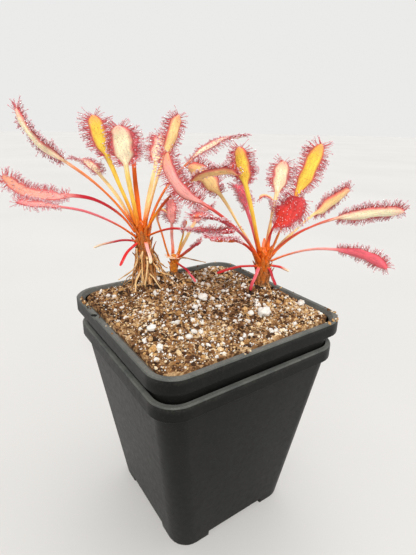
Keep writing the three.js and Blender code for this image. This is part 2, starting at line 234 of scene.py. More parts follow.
def laid_out(values, m):
    """Values for each ring, (n, k), or ring point, (n, k, m), in the order of lofts' vertices."""
    if values.ndim == 2:
        values = np.repeat(values[..., None], m, axis=2)
    n = len(values)
    first = values[:, :1].mean(axis=2)
    last = values[:, -1:].mean(axis=2)
    return np.concatenate([first, values.reshape(n, -1), last], axis=1).ravel()


def tubes(paths, radii, sides):
    """A round closed tube along each of n paths, (n, k, 3), with radii (n, k)."""
    tangent = unit(np.gradient(paths, axis=1))
    side, up = crosswise(tangent, tangent[:, :1])
    angle = circle(sides)
    around = side[:, :, None] * np.cos(angle)[:, None] - up[:, :, None] * np.sin(angle)[:, None]
    rings = paths[:, :, None] + radii[:, :, None, None] * around
    cap = 0.6 * tangent[:, -1] * radii[:, -1:]
    return lofts(rings, paths[:, 0], paths[:, -1] + cap)


def straps(paths, outward, halves, thickness, trough):
    """A flat closed strap along each path, its broad face turned to outward, (n, k, 3)."""
    tangent = unit(np.gradient(paths, axis=1))
    side = unit(np.cross(outward, tangent))
    up = np.cross(tangent, side)
    angle = circle(STRAP_SIDES)
    across = halves[..., None] * np.cos(angle)
    lift = 0.5 * thickness[..., None] * np.sin(angle) - trough * halves[..., None] * np.cos(angle) ** 2
    rings = paths[:, :, None] + across[..., None] * side[:, :, None] + lift[..., None] * up[:, :, None]
    return lofts(rings, rings[:, 0].mean(axis=1), rings[:, -1].mean(axis=1))


def icosphere(subdivisions):
    """Corners and triangles of a unit ball."""
    shape = bmesh.new()
    bmesh.ops.create_icosphere(shape, subdivisions=subdivisions, radius=1.0)
    vertices = np.array([vertex.co[:] for vertex in shape.verts])
    faces = np.array([[vertex.index for vertex in face.verts] for face in shape.faces])
    shape.free()
    return vertices, faces


def random_turns(rng, count):
    """count random rotation matrices."""
    q = unit(rng.normal(size=(count, 4)))
    w, x, y, z = q.T
    return np.stack([
        np.stack([1 - 2 * (y * y + z * z), 2 * (x * y - z * w), 2 * (x * z + y * w)], axis=-1),
        np.stack([2 * (x * y + z * w), 1 - 2 * (x * x + z * z), 2 * (y * z - x * w)], axis=-1),
        np.stack([2 * (x * z - y * w), 2 * (y * z + x * w), 1 - 2 * (x * x + y * y)], axis=-1),
    ], axis=1)


def lumps(rng, centres, sizes, subdivisions, roughness, flatness):
    """Irregular closed grains, one at each centre, of the given diameters."""
    shape, faces = icosphere(subdivisions)
    count = len(centres)
    proportions = np.stack([
        np.ones(count),
        rng.uniform(flatness, 1.0, count),
        rng.uniform(0.8 * flatness, 0.9, count),
    ], axis=-1)
    swell = 1 + roughness * rng.normal(size=(count, len(shape)))
    grains = shape[None] * np.clip(swell, 0.55, 1.5)[..., None] * proportions[:, None]
    grains = np.einsum("nij,nvj->nvi", random_turns(rng, count), grains)
    vertices = centres[:, None] + grains * (0.5 * sizes)[:, None, None]
    start = (np.arange(count) * len(shape))[:, None, None]
    return vertices.reshape(-1, 3), (faces[None] + start).reshape(-1, 3).tolist(), len(shape)


def add_piece(name, vertices, faces, material, slot, attributes=None, replaces=None, smooth=True):
    """A mesh with values at its vertices, on the plant's one body."""
    mesh = bpy.data.meshes.new(name)
    mesh.from_pydata(vertices.tolist(), [], faces)
    for label, values in (attributes or {}).items():
        layer = mesh.attributes.new(label, "FLOAT", "POINT")
        layer.data.foreach_set("value", np.ascontiguousarray(values, dtype=np.float32))
    mesh.polygons.foreach_set("use_smooth", [smooth] * len(mesh.polygons))
    mesh.materials.append(material)
    piece = bpy.data.objects.new(name, mesh)
    bpy.context.scene.collection.objects.link(piece)
    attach(piece, BODY)
    if replaces:
        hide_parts(replaces)


def add_straps(name, skin, material, slot, values):
    """A piece of straps, with values at each of their steps."""
    attributes = {label: laid_out(steps, STRAP_SIDES) for label, steps in values.items()}
    add_piece(name, *skin, material, slot, attributes)


# ---------------------------------------------------------------- material nodes


class Finish:
    """A material whose nodes are added by short calls."""

    def __init__(self, name):
        self.material = bpy.data.materials.new(name)
        self.material.use_nodes = True
        self.tree = self.material.node_tree
        self.shader = self.tree.nodes["Principled BSDF"]
        self.place = self.tree.nodes.new("ShaderNodeTexCoord").outputs["Object"]

    def node(self, kind, sockets, **settings):
        node = self.tree.nodes.new(kind)
        for key, value in settings.items():
            setattr(node, key, value)
        for key, value in sockets.items():
            self.put(node.inputs[key], value)
        return node

    def put(self, socket, value):
        if isinstance(value, bpy.types.NodeSocket):
            self.tree.links.new(value, socket)
        else:
            socket.default_value = value

    def set(self, colour, rough, bump=None, glow=None, **sockets):
        """Fill the shader's sockets; glow is the subsurface weight, radii and scale in mm."""
        sockets.update({"Base Color": colour, "Roughness": rough})
        if bump:
            sockets["Normal"] = bump
        if glow:
            weight, radii, scale = glow
            sockets.update(Subsurface_Weight=weight, Subsurface_Radius=radii, Subsurface_Scale=scale * MM)
        for key, value in sockets.items():
            self.put(self.shader.inputs[key.replace("_", " ")], value)
        return self.material

    def attribute(self, name):
        return self.node("ShaderNodeAttribute", {}, attribute_name=name).outputs["Fac"]

    def noise(self, scale, detail=3.0, roughness=0.55, vector=None):
        sockets = {"Vector": vector or self.place, "Scale": scale, "Detail": detail}
        return self.node("ShaderNodeTexNoise", {**sockets, "Roughness": roughness}).outputs["Fac"]

    def stretched(self, x, y, z):
        sockets = {"Vector": self.place, "Scale": (x, y, z)}
        return self.node("ShaderNodeMapping", sockets).outputs["Vector"]

    def cells(self, scale, output="Distance"):
        return self.node("ShaderNodeTexVoronoi", {"Vector": self.place, "Scale": scale}).outputs[output]

    def ramp(self, factor, stops):
        node = self.node("ShaderNodeValToRGB", {"Fac": factor})
        ramp = node.color_ramp
        while len(ramp.elements) < len(stops):
            ramp.elements.new(0.5)
        for element, (position, colour) in zip(ramp.elements, stops):
            element.position = position
            element.color = (*colour, 1.0)
        return node.outputs["Color"]

    def between(self, value, low, high, to_low=0.0, to_high=1.0):
        sockets = {"Value": value, "From Min": low, "From Max": high}
        sockets.update({"To Min": to_low, "To Max": to_high})
        return self.node("ShaderNodeMapRange", sockets).outputs["Result"]

    def waver(self, noise, to_low, to_high):
        """The middle of a noise's range, spread over the given values."""
        return self.between(noise, 0.3, 0.7, to_low, to_high)

    def math(self, operation, first, second=0.0):
        node = self.node("ShaderNodeMath", {}, operation=operation)
        self.put(node.inputs[0], first)
        self.put(node.inputs[1], second)
        return node.outputs[0]

    def add(self, first, second):
        return self.math("ADD", first, second)

    def times(self, first, second):
        return self.math("MULTIPLY", first, second)

    def mix(self, factor, first, second, blend="MIX"):
        node = self.node("ShaderNodeMix", {}, data_type="RGBA", blend_type=blend)
        self.put(node.inputs[0], factor)
        for socket, value in ((node.inputs[6], first), (node.inputs[7], second)):
            self.put(socket, (*value, 1.0) if isinstance(value, tuple) else value)
        return node.outputs[2]

    def toned(self, colour, tone):
        """A colour made darker or lighter by one number."""
        return self.mix(1.0, colour, self.vector(tone, tone, tone), "MULTIPLY")

    def part_of(self, vector, axis):
        return self.node("ShaderNodeSeparateXYZ", {"Vector": vector}).outputs[axis]

    def vector(self, x, y, z=0.0):
        return self.node("ShaderNodeCombineXYZ", {"X": x, "Y": y, "Z": z}).outputs["Vector"]

    def bump(self, height, distance, strength=1.0, under=None):
        sockets = {"Height": height, "Distance": distance, "Strength": strength}
        if under:
            sockets["Normal"] = under
        return self.node("ShaderNodeBump", sockets).outputs["Normal"]


def mixed(first, second, share):
    """A palette colour moved towards another."""
    return tuple(a + (b - a) * share for a, b in zip(PALETTE[first], PALETTE[second]))


# ---------------------------------------------------------------- pots

POT_EDGE = 0.22 * MM  # width of the rounded edges
POT_EDGE_ANGLE = 38  # degrees; flatter edges stay sharp


def plastic(name, rim_top):
    """Satin black plastic, with dust and pale scuffs on the rim, and a painted highlight that lightens
    the rim's upward faces.
    """
    finish = Finish(name)
    height = finish.part_of(finish.place, "Z")
    facing = finish.node("ShaderNodeNewGeometry", {}).outputs["Normal"]
    flat = finish.between(finish.part_of(facing, "Z"), 0.3, 0.9)
    near_rim = finish.between(height, rim_top - 2.6 * MM, rim_top - 1.2 * MM)
    blotches = finish.between(finish.noise(150.0, 5.0, 0.6), 0.30, 0.6)
    specks = finish.between(finish.noise(1500.0, 2.0, 0.6), 0.52, 0.75)
    scuffs = finish.times(finish.math("MAXIMUM", flat, 0.12), near_rim)
    scuffs = finish.times(scuffs, finish.add(blotches, specks))
    streaks = finish.noise(26.0, 4.0, 0.6, vector=finish.stretched(3.0, 3.0, 0.5))
    body = finish.ramp(streaks, [
        (0.30, (0.0038, 0.0042, 0.0040)),
        (0.55, (0.0052, 0.0056, 0.0052)),
        (0.75, (0.0080, 0.0076, 0.0068)),
    ])
    dust = finish.between(specks, 0.0, 1.0, 0.0, 0.04)
    body = finish.mix(dust, body, (0.20, 0.17, 0.13))
    # painted highlight: the upward faces near the rim top are lightened to a pale grey, as if lit from
    # above
    painted_rim_highlight = finish.times(finish.times(flat, near_rim), 0.9)
    body = finish.mix(painted_rim_highlight, body, (0.105, 0.115, 0.110))
    colour = finish.mix(finish.between(scuffs, 0.0, 1.6, 0.0, 0.6), body, (0.24, 0.235, 0.21))
    rough = finish.waver(finish.noise(420.0, 4.0, 0.6), 0.36, 0.46)
    grain = finish.bump(finish.noise(2600.0, 2.0, 0.5), 0.03 * MM, 0.4)
    return finish.set(colour, rough, grain, Specular_IOR_Level=0.13)


def dress_pot(node):
    """Plastic for a CAD pot, its edges rounded and shaded evenly."""
    pot = frame["nodes"][node]
    rim_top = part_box(node)[1].z
    pot.data.materials.clear()
    pot.data.materials.append(plastic(node + "_plastic", rim_top))
    pot.data.polygons.foreach_set("use_smooth", [True] * len(pot.data.polygons))
    weld = pot.modifiers.new("weld", "WELD")
    weld.merge_threshold = 0.002 * MM
    bevel = pot.modifiers.new("rounded_edges", "BEVEL")
    bevel.width = POT_EDGE
    bevel.segments = 2
    bevel.limit_method = "ANGLE"
    bevel.angle_limit = math.radians(POT_EDGE_ANGLE)
    pot.modifiers.new("even_shading", "WEIGHTED_NORMAL")


# ---------------------------------------------------------------- leaves

CAD_SIDES = 8  # points round a CAD leaf's section
CAD_STALK_RINGS = 4  # rings of a CAD leaf before its blade begins
LEAF_THICKNESS = 0.9 * MM
LEAF_TROUGH = 0.16
BROWN_TIPS = {"left_leaf_02": "tan", "right_leaf_10": "amber", "right_leaf_11": "amber"}
BARE_STRANDS = ("plantlet_leaf_06",)  # leaves whose blade has withered to a strand
BARE_HALF = 0.6 * MM


def cad_rings(node, crown):
    """The rings of a lofted CAD stalk or leaf, from its foot on the crown to its tip."""
    spots, which = cad_spots(node)
    linked = [set() for _ in spots]
    for edge in frame["nodes"][node].data.edges:
        first, second = (int(which[vertex]) for vertex in edge.vertices)
        linked[first].add(second)
        linked[second].add(first)
    low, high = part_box(crown)
    top = np.array([(low.x + high.x) / 2, (low.y + high.y) / 2, high.z])
    poles = [spot for spot in range(len(spots)) if len(linked[spot]) == CAD_SIDES]
    foot = min(poles, key=lambda spot: np.linalg.norm(spots[spot] - top))
    levels = [[foot]]
    seen = {foot}
    while levels[-1]:
        after = sorted({spot for here in levels[-1] for spot in linked[here]} - seen)
        seen.update(after)
        levels.append(after)
    return [spots[level] for level in levels if len(level) == CAD_SIDES]


def cad_course(rings):
    """Centres, upper-face directions and half widths of the rings."""
    centres, halves, lifts = [], [], []
    for ring in rings:
        apart = np.linalg.norm(ring[:, None] - ring[None], axis=-1)
        first, second = np.unravel_index(apart.argmax(), apart.shape)
        side = unit(ring[first] - ring[second])
        between = (ring[first] + ring[second]) / 2
        middle = np.argsort(np.abs((ring - between) @ side))[:2]
        centre = ring[middle].mean(axis=0)
        centres.append(centre)
        halves.append(apart.max() / 2)
        lifts.append(between - centre)
    centres = np.array(centres)
    tangents = unit(np.gradient(centres, axis=0))
    return centres, square_to(np.array(lifts), tangents), np.array(halves)


def leaf_course(node, crown, sections):
    """The finer course of a leaf: where each section is, how it is turned, how wide it is."""
    rng = random_for(node)
    rings = cad_rings(node, crown)
    centres, ups, halves = cad_course(rings)
    last = len(rings) - 1
    places = np.linspace(0, last, sections)
    path = smooth_rows(centres, places)
    tangent = unit(np.gradient(path, axis=0))
    up = square_to(smooth_rows(ups, places), tangent)
    side = np.cross(up, tangent)
    half = smooth_rows(halves[:, None], places)[:, 0]
    blade = np.clip((places - CAD_STALK_RINGS) / (last - CAD_STALK_RINGS), 0, 1)
    if last <= CAD_STALK_RINGS + 2:
        blade = np.zeros(sections)
    phase = rng.uniform(0, 2 * np.pi, 6)
    free = np.minimum(places / 2, 1)
    sway = 0.16 * MM * free * np.sin(places * 1.3 + phase[0])
    nod = 0.14 * MM * free * np.sin(places * 1.7 + phase[1])
    twist = math.radians(7) * free * np.sin(places * 0.6 + phase[2])
    path = path + sway[:, None] * side + nod[:, None] * up
    turned = np.cos(twist)[:, None] * side + np.sin(twist)[:, None] * up
    up = np.cross(tangent, turned)
    half = half * (1 + 0.05 * np.sin(places * 2.3 + phase[3]) * free)
    if node in BARE_STRANDS:
        half = np.minimum(half, BARE_HALF)
    closing = np.clip((places - (last - 0.55)) / 0.55, 0, 1)
    half = half * np.maximum(np.sqrt(1 - closing**2), 0.12)
    return {
        "places": places, "path": path, "tangent": tangent, "side": turned, "up": up,
        "half": half, "blade": blade, "phase": phase, "last": last,
    }


def section_lift(course, angle, half, blade, places):
    """Height of the leaf's skin over its middle line at an angle round its section."""
    thickness = np.minimum(LEAF_THICKNESS, 1.2 * half)
    belly = np.where(np.sin(angle) > 0, 0.46 - 0.10 * blade, 0.56 + 0.12 * blade)
    groove = 0.10 * thickness * blade * np.exp(-((np.cos(angle) / 0.22) ** 2)) * (np.sin(angle) > 0)
    ripple = 0.05 * half * blade * np.cos(angle) ** 4
    ripple = ripple * np.sin(places * 5.1 + course["phase"][4] + 2.0 * np.sign(np.cos(angle)))
    trough = 2 * LEAF_TROUGH * half * np.cos(angle) ** 2
    return belly * thickness * np.sin(angle) + trough - groove + ripple


def leaf_skin(course, sides):
    """Vertices and faces of a closed leaf or stalk."""
    angle = circle(sides)
    half = course["half"][:, None]
    blade = course["blade"][:, None]
    places = course["places"][:, None]
    lift = section_lift(course, angle[None], half, blade, places)
    across = half * np.cos(angle)
    rings = (course["path"][:, None] + across[..., None] * course["side"][:, None]
             + lift[..., None] * course["up"][:, None])
    tip = rings[-1].mean(axis=0) + 0.08 * MM * course["tangent"][-1]
    return lofts(rings[None], rings[:1].mean(axis=1), tip[None])


def leaf_attributes(course, sides):
    """Where each vertex is: along the leaf, across it, and under it."""
    angle = circle(sides)
    count = len(course["places"])
    stalk = np.clip(course["places"] / CAD_STALK_RINGS, 0, 1)
    along = np.where(course["blade"] > 0, 0.5 + 0.5 * course["blade"], 0.5 * stalk)
    if course["last"] <= CAD_STALK_RINGS + 2:
        along = course["places"] / course["last"]
    across = np.broadcast_to(np.cos(angle), (count, sides))
    under = np.broadcast_to(0.5 - 0.5 * np.sin(angle), (count, sides))
    return {
        "along": laid_out(along[None], sides),
        "across": laid_out(across[None], sides),
        "under": laid_out(under[None], sides),
    }


LEAF_FINISHES = {}


def leaf_finish(stalk, face, back, tip):
    """A moist, slightly translucent leaf: warm at its foot, its own colours on stalk and blade."""
    key = f"leaf_{stalk}_{face}_{back}_{tip}"
    if key in LEAF_FINISHES:
        return LEAF_FINISHES[key]
    finish = Finish(key)
    along = finish.attribute("along")
    across = finish.attribute("across")
    under = finish.attribute("under")
    streak_place = finish.vector(finish.times(along, 9.0), finish.times(across, 2.4), under)
    streaks = finish.noise(1.6, 4.0, 0.6, vector=streak_place)
    shifted = finish.add(along, finish.waver(streaks, -0.05, 0.05))
    warm = "amber" if back in ("cream", "white_cream", "yellow") else "orange"
    upper = finish.ramp(shifted, [
        (0.00, PALETTE["orange"]),
        (0.10, mixed("orange", stalk, 0.5)),
        (0.22, PALETTE[stalk]),
        (0.44, PALETTE[stalk]),
        (0.56, PALETTE[face]),
        (0.93, mixed(face, tip, 0.35)),
        (1.00, mixed(face, tip, 0.7)),
    ])
    lower = finish.ramp(shifted, [
        (0.00, PALETTE["orange"]),
        (0.12, PALETTE[warm]),
        (0.24, mixed(warm, stalk, 0.8)),
        (0.44, mixed(stalk, back, 0.25)),
        (0.56, PALETTE[back]),
        (0.88, PALETTE[back]),
        (0.96, mixed(back, tip, 0.3)),
        (1.00, mixed(back, tip, 0.6)),
    ])
    colour = finish.mix(finish.between(under, 0.42, 0.62), upper, lower)
    on_blade = finish.between(along, 0.48, 0.6)
    edge = finish.add(finish.math("ABSOLUTE", across), finish.waver(streaks, -0.08, 0.08))
    edge = finish.times(finish.between(edge, 0.62, 0.92), finish.times(on_blade, 0.85))
    colour = finish.mix(edge, colour, mixed("pink", "crimson", 0.45))
    tone = finish.between(streaks, 0.25, 0.75, 0.72, 1.22)
    colour = finish.toned(colour, tone)
    dots = finish.between(finish.cells(1500.0), 0.16, 0.30, 0.55, 0.0)
    colour = finish.mix(finish.times(dots, on_blade), colour, PALETTE["crimson"])
    rough = finish.waver(finish.noise(900.0, 2.0), 0.30, 0.50)
    coarse = finish.bump(streaks, 0.12 * MM, 0.6)
    bumps = finish.bump(finish.noise(2600.0, 3.0), 0.05 * MM, 0.5, coarse)
    glow = (0.25, (1.0, 0.3, 0.12), 0.5)
    LEAF_FINISHES[key] = finish.set(colour, rough, bumps, glow, Specular_IOR_Level=0.3)
    return LEAF_FINISHES[key]


# ---------------------------------------------------------------- tentacles and dew

TENTACLES_PER_MM = 14.4  # along a blade, both sides together
MARGINAL_SHARE = 0.78
TENTACLE_SIDES = 3
TENTACLE_SHAPE = [  # share of the length, radius in mm
    (0.00, 0.150), (0.30, 0.110), (0.66, 0.085), (0.90, 0.080), (1.00, 0.145),
]


def tentacle_roots(course, rng, count):
    """Places over the blade's upper face: two rows on each margin, and a sparse lawn between."""
    marginal = rng.random(count) < MARGINAL_SHARE
    blade = (rng.permutation(count) + rng.uniform(0, 1, count)) / count
    side = np.where(rng.random(count) < 0.5, -1.0, 1.0)
    outer = np.where(rng.random(count) < 0.6, rng.uniform(0.95, 1.0, count), rng.uniform(0.8, 0.9, count))
    reach = np.where(marginal, outer, rng.uniform(0.0, 0.8, count) ** 0.8)
    places = CAD_STALK_RINGS + (0.01 + 0.99 * blade) * (course["last"] - CAD_STALK_RINGS)
    return blade, side * reach, places


def read(course, key, places):
    """A value of the course at places between its sections."""
    values = course[key]
    at = places / course["last"] * (len(values) - 1)
    low = np.clip(at.astype(int), 0, len(values) - 2)
    share = at - low
    if values.ndim == 2:
        share = share[:, None]
    return values[low] * (1 - share) + values[low + 1] * share


def add_tentacles(name, course, length_share, lean, tentacle_material, dew_material):
    """Bent tentacles all over a blade, each with its drop of dew; returns how many."""
    rng = random_for(name + " tentacles")
    steps = np.linalg.norm(np.diff(course["path"], axis=0), axis=1)
    blade_length = steps[course["blade"][1:] > 0].sum()
    width_share = np.clip(course["half"].max() / (3.2 * MM), 0.6, 1.35)
    count = int(TENTACLES_PER_MM * blade_length / MM * width_share**0.6)
    blade, across, places = tentacle_roots(course, rng, count)
    half = read(course, "half", places)
    side = unit(read(course, "side", places))
    up = unit(read(course, "up", places))
    tangent = unit(read(course, "tangent", places))
    path = read(course, "path", places)
    angle = np.arccos(np.clip(across, -1, 1))
    lift = section_lift(course, angle, half, blade, places) - 0.05 * MM
    root = path + (half * across)[:, None] * side + lift[:, None] * up
    reach = np.abs(across)
    length = (0.7 + 0.5 * reach + 2.5 * np.clip((reach - 0.7) / 0.27, 0, 1)) * MM
    length = length * rng.uniform(0.55, 1.15, count) * length_share * (0.85 + 0.25 * blade)
    spread = across * math.radians(lean) + rng.normal(0, math.radians(8), count)
    forward = rng.normal(0, 0.2, count) + 1.3 * np.clip((blade - 0.88) / 0.12, 0, 1)
    start = unit(np.cos(spread)[:, None] * up + np.sin(spread)[:, None] * side
                 + forward[:, None] * tangent)
    bend = rng.uniform(-0.1, 0.5, count)[:, None] * up + rng.normal(0, 0.16, (count, 3))
    end = unit(start + bend)
    share = np.array([stop for stop, _ in TENTACLE_SHAPE])
    radii = np.array([radius for _, radius in TENTACLE_SHAPE]) * MM
    shaft = length[:, None, None] * (share[:, None] * start[:, None]
                                     + 0.5 * share[:, None] ** 2 * (end - start)[:, None])
    paths = root[:, None] + shaft
    girth = rng.uniform(0.85, 1.15, count) * np.clip(length / (2.4 * MM), 0.8, 1.05)
    vertices, faces = tubes(paths, radii * girth[:, None], TENTACLE_SIDES)
    shades = np.broadcast_to(share, (count, len(share)))
    tone = np.broadcast_to(rng.random(count)[:, None], shades.shape)
    attributes = {"along": laid_out(shades, TENTACLE_SIDES), "tone": laid_out(tone, TENTACLE_SIDES)}
    add_piece(name + "_tentacles", vertices, faces, tentacle_material, "tentacle", attributes)
    add_dew(name + "_dew", paths[:, -1], unit(paths[:, -1] - paths[:, -2]), length, rng, dew_material)
    return count


DEW_SIDES = 5
DEW_RINGS = 3
DEW_STRETCH = 1.18  # a drop's length beside its width


def add_dew(name, glands, pointing, length, rng, material):
    """A drop of mucilage round each gland, a little longer than it is wide."""
    count = len(glands)
    radius = np.clip(0.10 * length, 0.21 * MM, 0.32 * MM) * rng.uniform(0.8, 1.25, count)
    centre = glands - 0.25 * radius[:, None] * pointing
    side, up = crosswise(pointing, pointing)
    tilt = np.pi * (np.arange(1, DEW_RINGS + 1) / (DEW_RINGS + 1) - 0.5)
    angle = circle(DEW_SIDES)
    around = side[:, None, None] * np.cos(angle)[:, None] - up[:, None, None] * np.sin(angle)[:, None]
    rings = (np.cos(tilt)[:, None, None] * around
             + DEW_STRETCH * np.sin(tilt)[:, None, None] * pointing[:, None, None])
    rings = centre[:, None, None] + radius[:, None, None, None] * rings
    reach = DEW_STRETCH * radius[:, None] * pointing
    vertices, faces = lofts(rings, centre - reach, centre + reach)
    add_piece(name, vertices, faces, material, "dew")


def tentacle_finish():
    """Crimson stalks with darker glands."""
    finish = Finish("tentacle")
    along = finish.attribute("along")
    stalk = finish.ramp(along, [
        (0.00, (0.88, 0.20, 0.18)),
        (0.30, (0.66, 0.032, 0.070)),
        (0.85, (0.54, 0.014, 0.046)),
        (0.93, (0.38, 0.004, 0.020)),
        (1.00, (0.28, 0.002, 0.012)),
    ])
    pale = finish.between(finish.attribute("tone"), 0.0, 1.0, 0.0, 0.3)
    pale = finish.times(pale, finish.between(along, 0.92, 0.8))
    mottle = finish.waver(finish.noise(1800.0, 2.0), 0.8, 1.2)
    colour = finish.toned(finish.mix(pale, stalk, (0.95, 0.42, 0.36)), mottle)
    bump = finish.bump(finish.noise(5000.0, 2.0), 0.02 * MM, 0.4)
    glow = (0.2, (1.0, 0.3, 0.2), 0.3)
    return finish.set(colour, 0.3, bump, glow, Coat_Weight=0.3, Coat_Roughness=0.08)


def dew_finish():
    """Clear pink mucilage."""
    finish = Finish("dew")
    cloud = finish.noise(900.0, 2.0)
    colour = finish.ramp(cloud, [(0.35, (0.98, 0.52, 0.58)), (0.65, (1.0, 0.88, 0.90))])
    rough = finish.waver(cloud, 0.02, 0.07)
    return finish.set(colour, rough, Transmission_Weight=0.25, IOR=1.36, Specular_IOR_Level=0.7,
                      Coat_Weight=0.6, Coat_Roughness=0.03)


LEAF_SECTIONS = 60
LEAF_SIDES = 16
STALK_SECTIONS = 30
STALK_SIDES = 12


def numbered(plant, part, index):
    """Name of a CAD node of a plant."""
    return f"{plant}_{part}_{index + 1:02d}"


def add_leaves():
    """Skins, tentacles and dew of every leaf; returns how many tentacles."""
    tentacle_material = tentacle_finish()
    dew_material = dew_finish()
    total = 0
    for plant, looks in LEAF_LOOKS.items():
        for index, (stalk, face, back, length_share, lean) in enumerate(looks):
            node = numbered(plant, "leaf", index)
            course = leaf_course(node, plant + "_crown", LEAF_SECTIONS)
            vertices, faces = leaf_skin(course, LEAF_SIDES)
            finish = leaf_finish(stalk, face, back, BROWN_TIPS.get(node, "pink"))
            add_piece(node + "_blade", vertices, faces, finish, "leaf",
                      leaf_attributes(course, LEAF_SIDES), replaces=node)
            if node not in BARE_STRANDS:
                total += add_tentacles(node, course, length_share, lean, tentacle_material, dew_material)
    return total


def cut_finish(name, colour, end):
    """A cut leaf stalk: warm at its foot, its own colour, and its cut end."""
    finish = Finish(name)
    along = finish.attribute("along")
    across, under = finish.attribute("across"), finish.attribute("under")
    streaks = finish.noise(1.8, 3.0, vector=finish.vector(finish.times(along, 14.0), across, under))
    stalk = finish.ramp(finish.add(along, finish.waver(streaks, -0.04, 0.04)), [
        (0.00, PALETTE["orange"]),
        (0.14, PALETTE[colour]),
        (0.50, PALETTE[colour]),
        (0.85, mixed(colour, end, 0.7)),
        (1.00, PALETTE[end]),
    ])
    specks = finish.between(finish.cells(900.0), 0.10, 0.22, 0.5, 0.0)
    stalk = finish.mix(specks, stalk, PALETTE["pale_pink"])
    bump = finish.bump(finish.noise(1500.0, 3.0), 0.08 * MM, 0.6)
    return finish.set(stalk, 0.36, bump, (0.25, (1.0, 0.35, 0.2), 0.6))


def add_cut_stalks():
    """Skins of the stubs of cut leaf stalks."""
    for plant, looks in CUT_LOOKS.items():
        for index, (colour, end) in enumerate(looks):
            node = numbered(plant, "cut_stalk", index)
            course = leaf_course(node, plant + "_crown", STALK_SECTIONS)
            course["half"] = np.maximum(course["half"], 0.5 * MM)
            vertices, faces = leaf_skin(course, STALK_SIDES)
            add_piece(node + "_skin", vertices, faces, cut_finish(node + "_finish", colour, end), "leaf",
                      leaf_attributes(course, STALK_SIDES), replaces=node)


# ---------------------------------------------------------------- stems

GOLDEN_ANGLE = math.radians(137.5)
STEM_SECTIONS = 46
STEM_SIDES = 28
BASE_STEPS = 9  # points along a leaf base
COLLAR_STEPS = 7
DEAD_STEPS = 14
STRAND_STEPS = 40
STRAND_CUTS = 8  # parts that a CAD strand is cut into to find its middle line
STRAND_SIDES = 8


def stem_finish(name, fresh):
    """Leaf bases and old sheath, from fresh orange (age 0) to dead brown (age 1)."""
    finish = Finish(name)
    grain = finish.noise(700.0, 5.0, 0.65, vector=finish.stretched(1.0, 1.0, 0.22))
    age = finish.add(finish.attribute("age"), finish.waver(grain, -0.16, 0.16))
    colour = finish.ramp(age, [
        (0.00, fresh),
        (0.30, (0.62, 0.17, 0.022)),
        (0.55, (0.40, 0.150, 0.040)),
        (0.78, (0.25, 0.120, 0.045)),
        (1.00, (0.12, 0.060, 0.028)),
    ])
    tone = finish.waver(finish.noise(1700.0, 3.0), 0.65, 1.3)
    colour = finish.toned(colour, tone)
    rough = finish.between(finish.attribute("age"), 0.0, 1.0, 0.35, 0.85)
    bump = finish.bump(grain, 0.3 * MM, 0.8)
    return finish.set(colour, rough, bump, (0.15, (1.0, 0.35, 0.15), 0.5))


def stem_axis(node, height):
    """Middle of a stem at heights z, between the middles of the node's bottom and top."""
    places = cad_points(node)
    low, high = places[:, 2].min(), places[:, 2].max()
    foot = places[places[:, 2] < low + 0.2 * MM].mean(axis=0)
    top = places[places[:, 2] > high - 0.2 * MM].mean(axis=0)
    share = ((np.asarray(height) - low) / (high - low))[..., None]
    return foot + share * (top - foot)


def add_stem(node, radius, ages, fresh):
    """A ribbed column whose skin goes from brown at the soil to the fresh colour at its top."""
    rng = random_for(node)
    low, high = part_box(node)
    share = np.linspace(0, 1, STEM_SECTIONS)
    height = low.z + share * (high.z - 0.4 * MM - low.z)
    middle = stem_axis(node, height)
    angle = circle(STEM_SIDES)
    dome = np.sqrt(np.clip(1 - np.clip((share - 0.84) / 0.17, 0, 1) ** 2, 0.05, 1))
    phase = rng.uniform(0, ANY_PHASE, 5)
    ribs = 0.10 * np.sin(7 * angle[None] + 2 * share[:, None] + phase[0])
    ribs = ribs + 0.09 * np.sin(30 * share[:, None] + 3 * angle[None] + phase[1])
    ribs = ribs + 0.06 * rng.normal(size=(STEM_SECTIONS, STEM_SIDES))
    reach = radius * dome[:, None] * (0.92 + ribs)
    rings = middle[:, None] + reach[..., None] * level(angle)
    vertices, faces = lofts(rings[None], middle[:1], rings[-1:].mean(axis=1) + [0, 0, 0.2 * MM])
    age = np.interp(share, [0, 0.5, 1], ages) + 0.1 * rng.normal(size=STEM_SECTIONS)
    finish = stem_finish(node + "_finish", fresh)
    add_piece(node + "_stem", vertices, faces, finish, "stem",
              {"age": laid_out(np.clip(age, 0, 1)[None], STEM_SIDES)}, replaces=node)
    return finish


def add_leaf_bases(node, count, radius, length, spread, ages, finish):
    """Overlapping leaf bases that climb the stem in a spiral."""
    rng = random_for(node + " bases")
    low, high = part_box(node)
    order = np.arange(count)
    share = (order + 0.5) / count
    angle = order * GOLDEN_ANGLE + rng.normal(0, 0.1, count)
    foot = low.z + 2 * MM + share * (high.z - low.z - 6 * MM)
    along = np.linspace(0, 1, BASE_STEPS)
    long = length * rng.uniform(0.75, 1.2, count)
    lean = np.interp(share, [0, 1], spread) * rng.uniform(0.7, 1.3, count)
    height = foot[:, None] + along * (long * np.cos(lean))[:, None]
    out = 0.86 * radius + 0.25 * MM + (long * np.sin(lean))[:, None] * along**1.6
    middle = stem_axis(node, np.minimum(height, high.z))
    middle[..., 2] = height
    outward = np.repeat(level(angle)[:, None], BASE_STEPS, axis=1)
    paths = middle + out[..., None] * outward
    width = np.interp(along, [0, 0.25, 0.75, 1], [0.8, 1.35, 0.9, 0.35]) * MM
    halves = width * rng.uniform(0.75, 1.2, count)[:, None]
    thickness = np.interp(along, [0, 0.5, 1], [0.7, 0.6, 0.25]) * MM * np.ones((count, 1))
    age = np.interp(share, [0, 0.5, 1], ages)[:, None] + rng.normal(0, 0.08, (count, 1)) + 0.12 * along
    skin = straps(paths, outward, halves, thickness, 0.45)
    add_straps(node + "_leaf_bases", skin, finish, "stem", {"age": np.clip(age, 0, 1)})


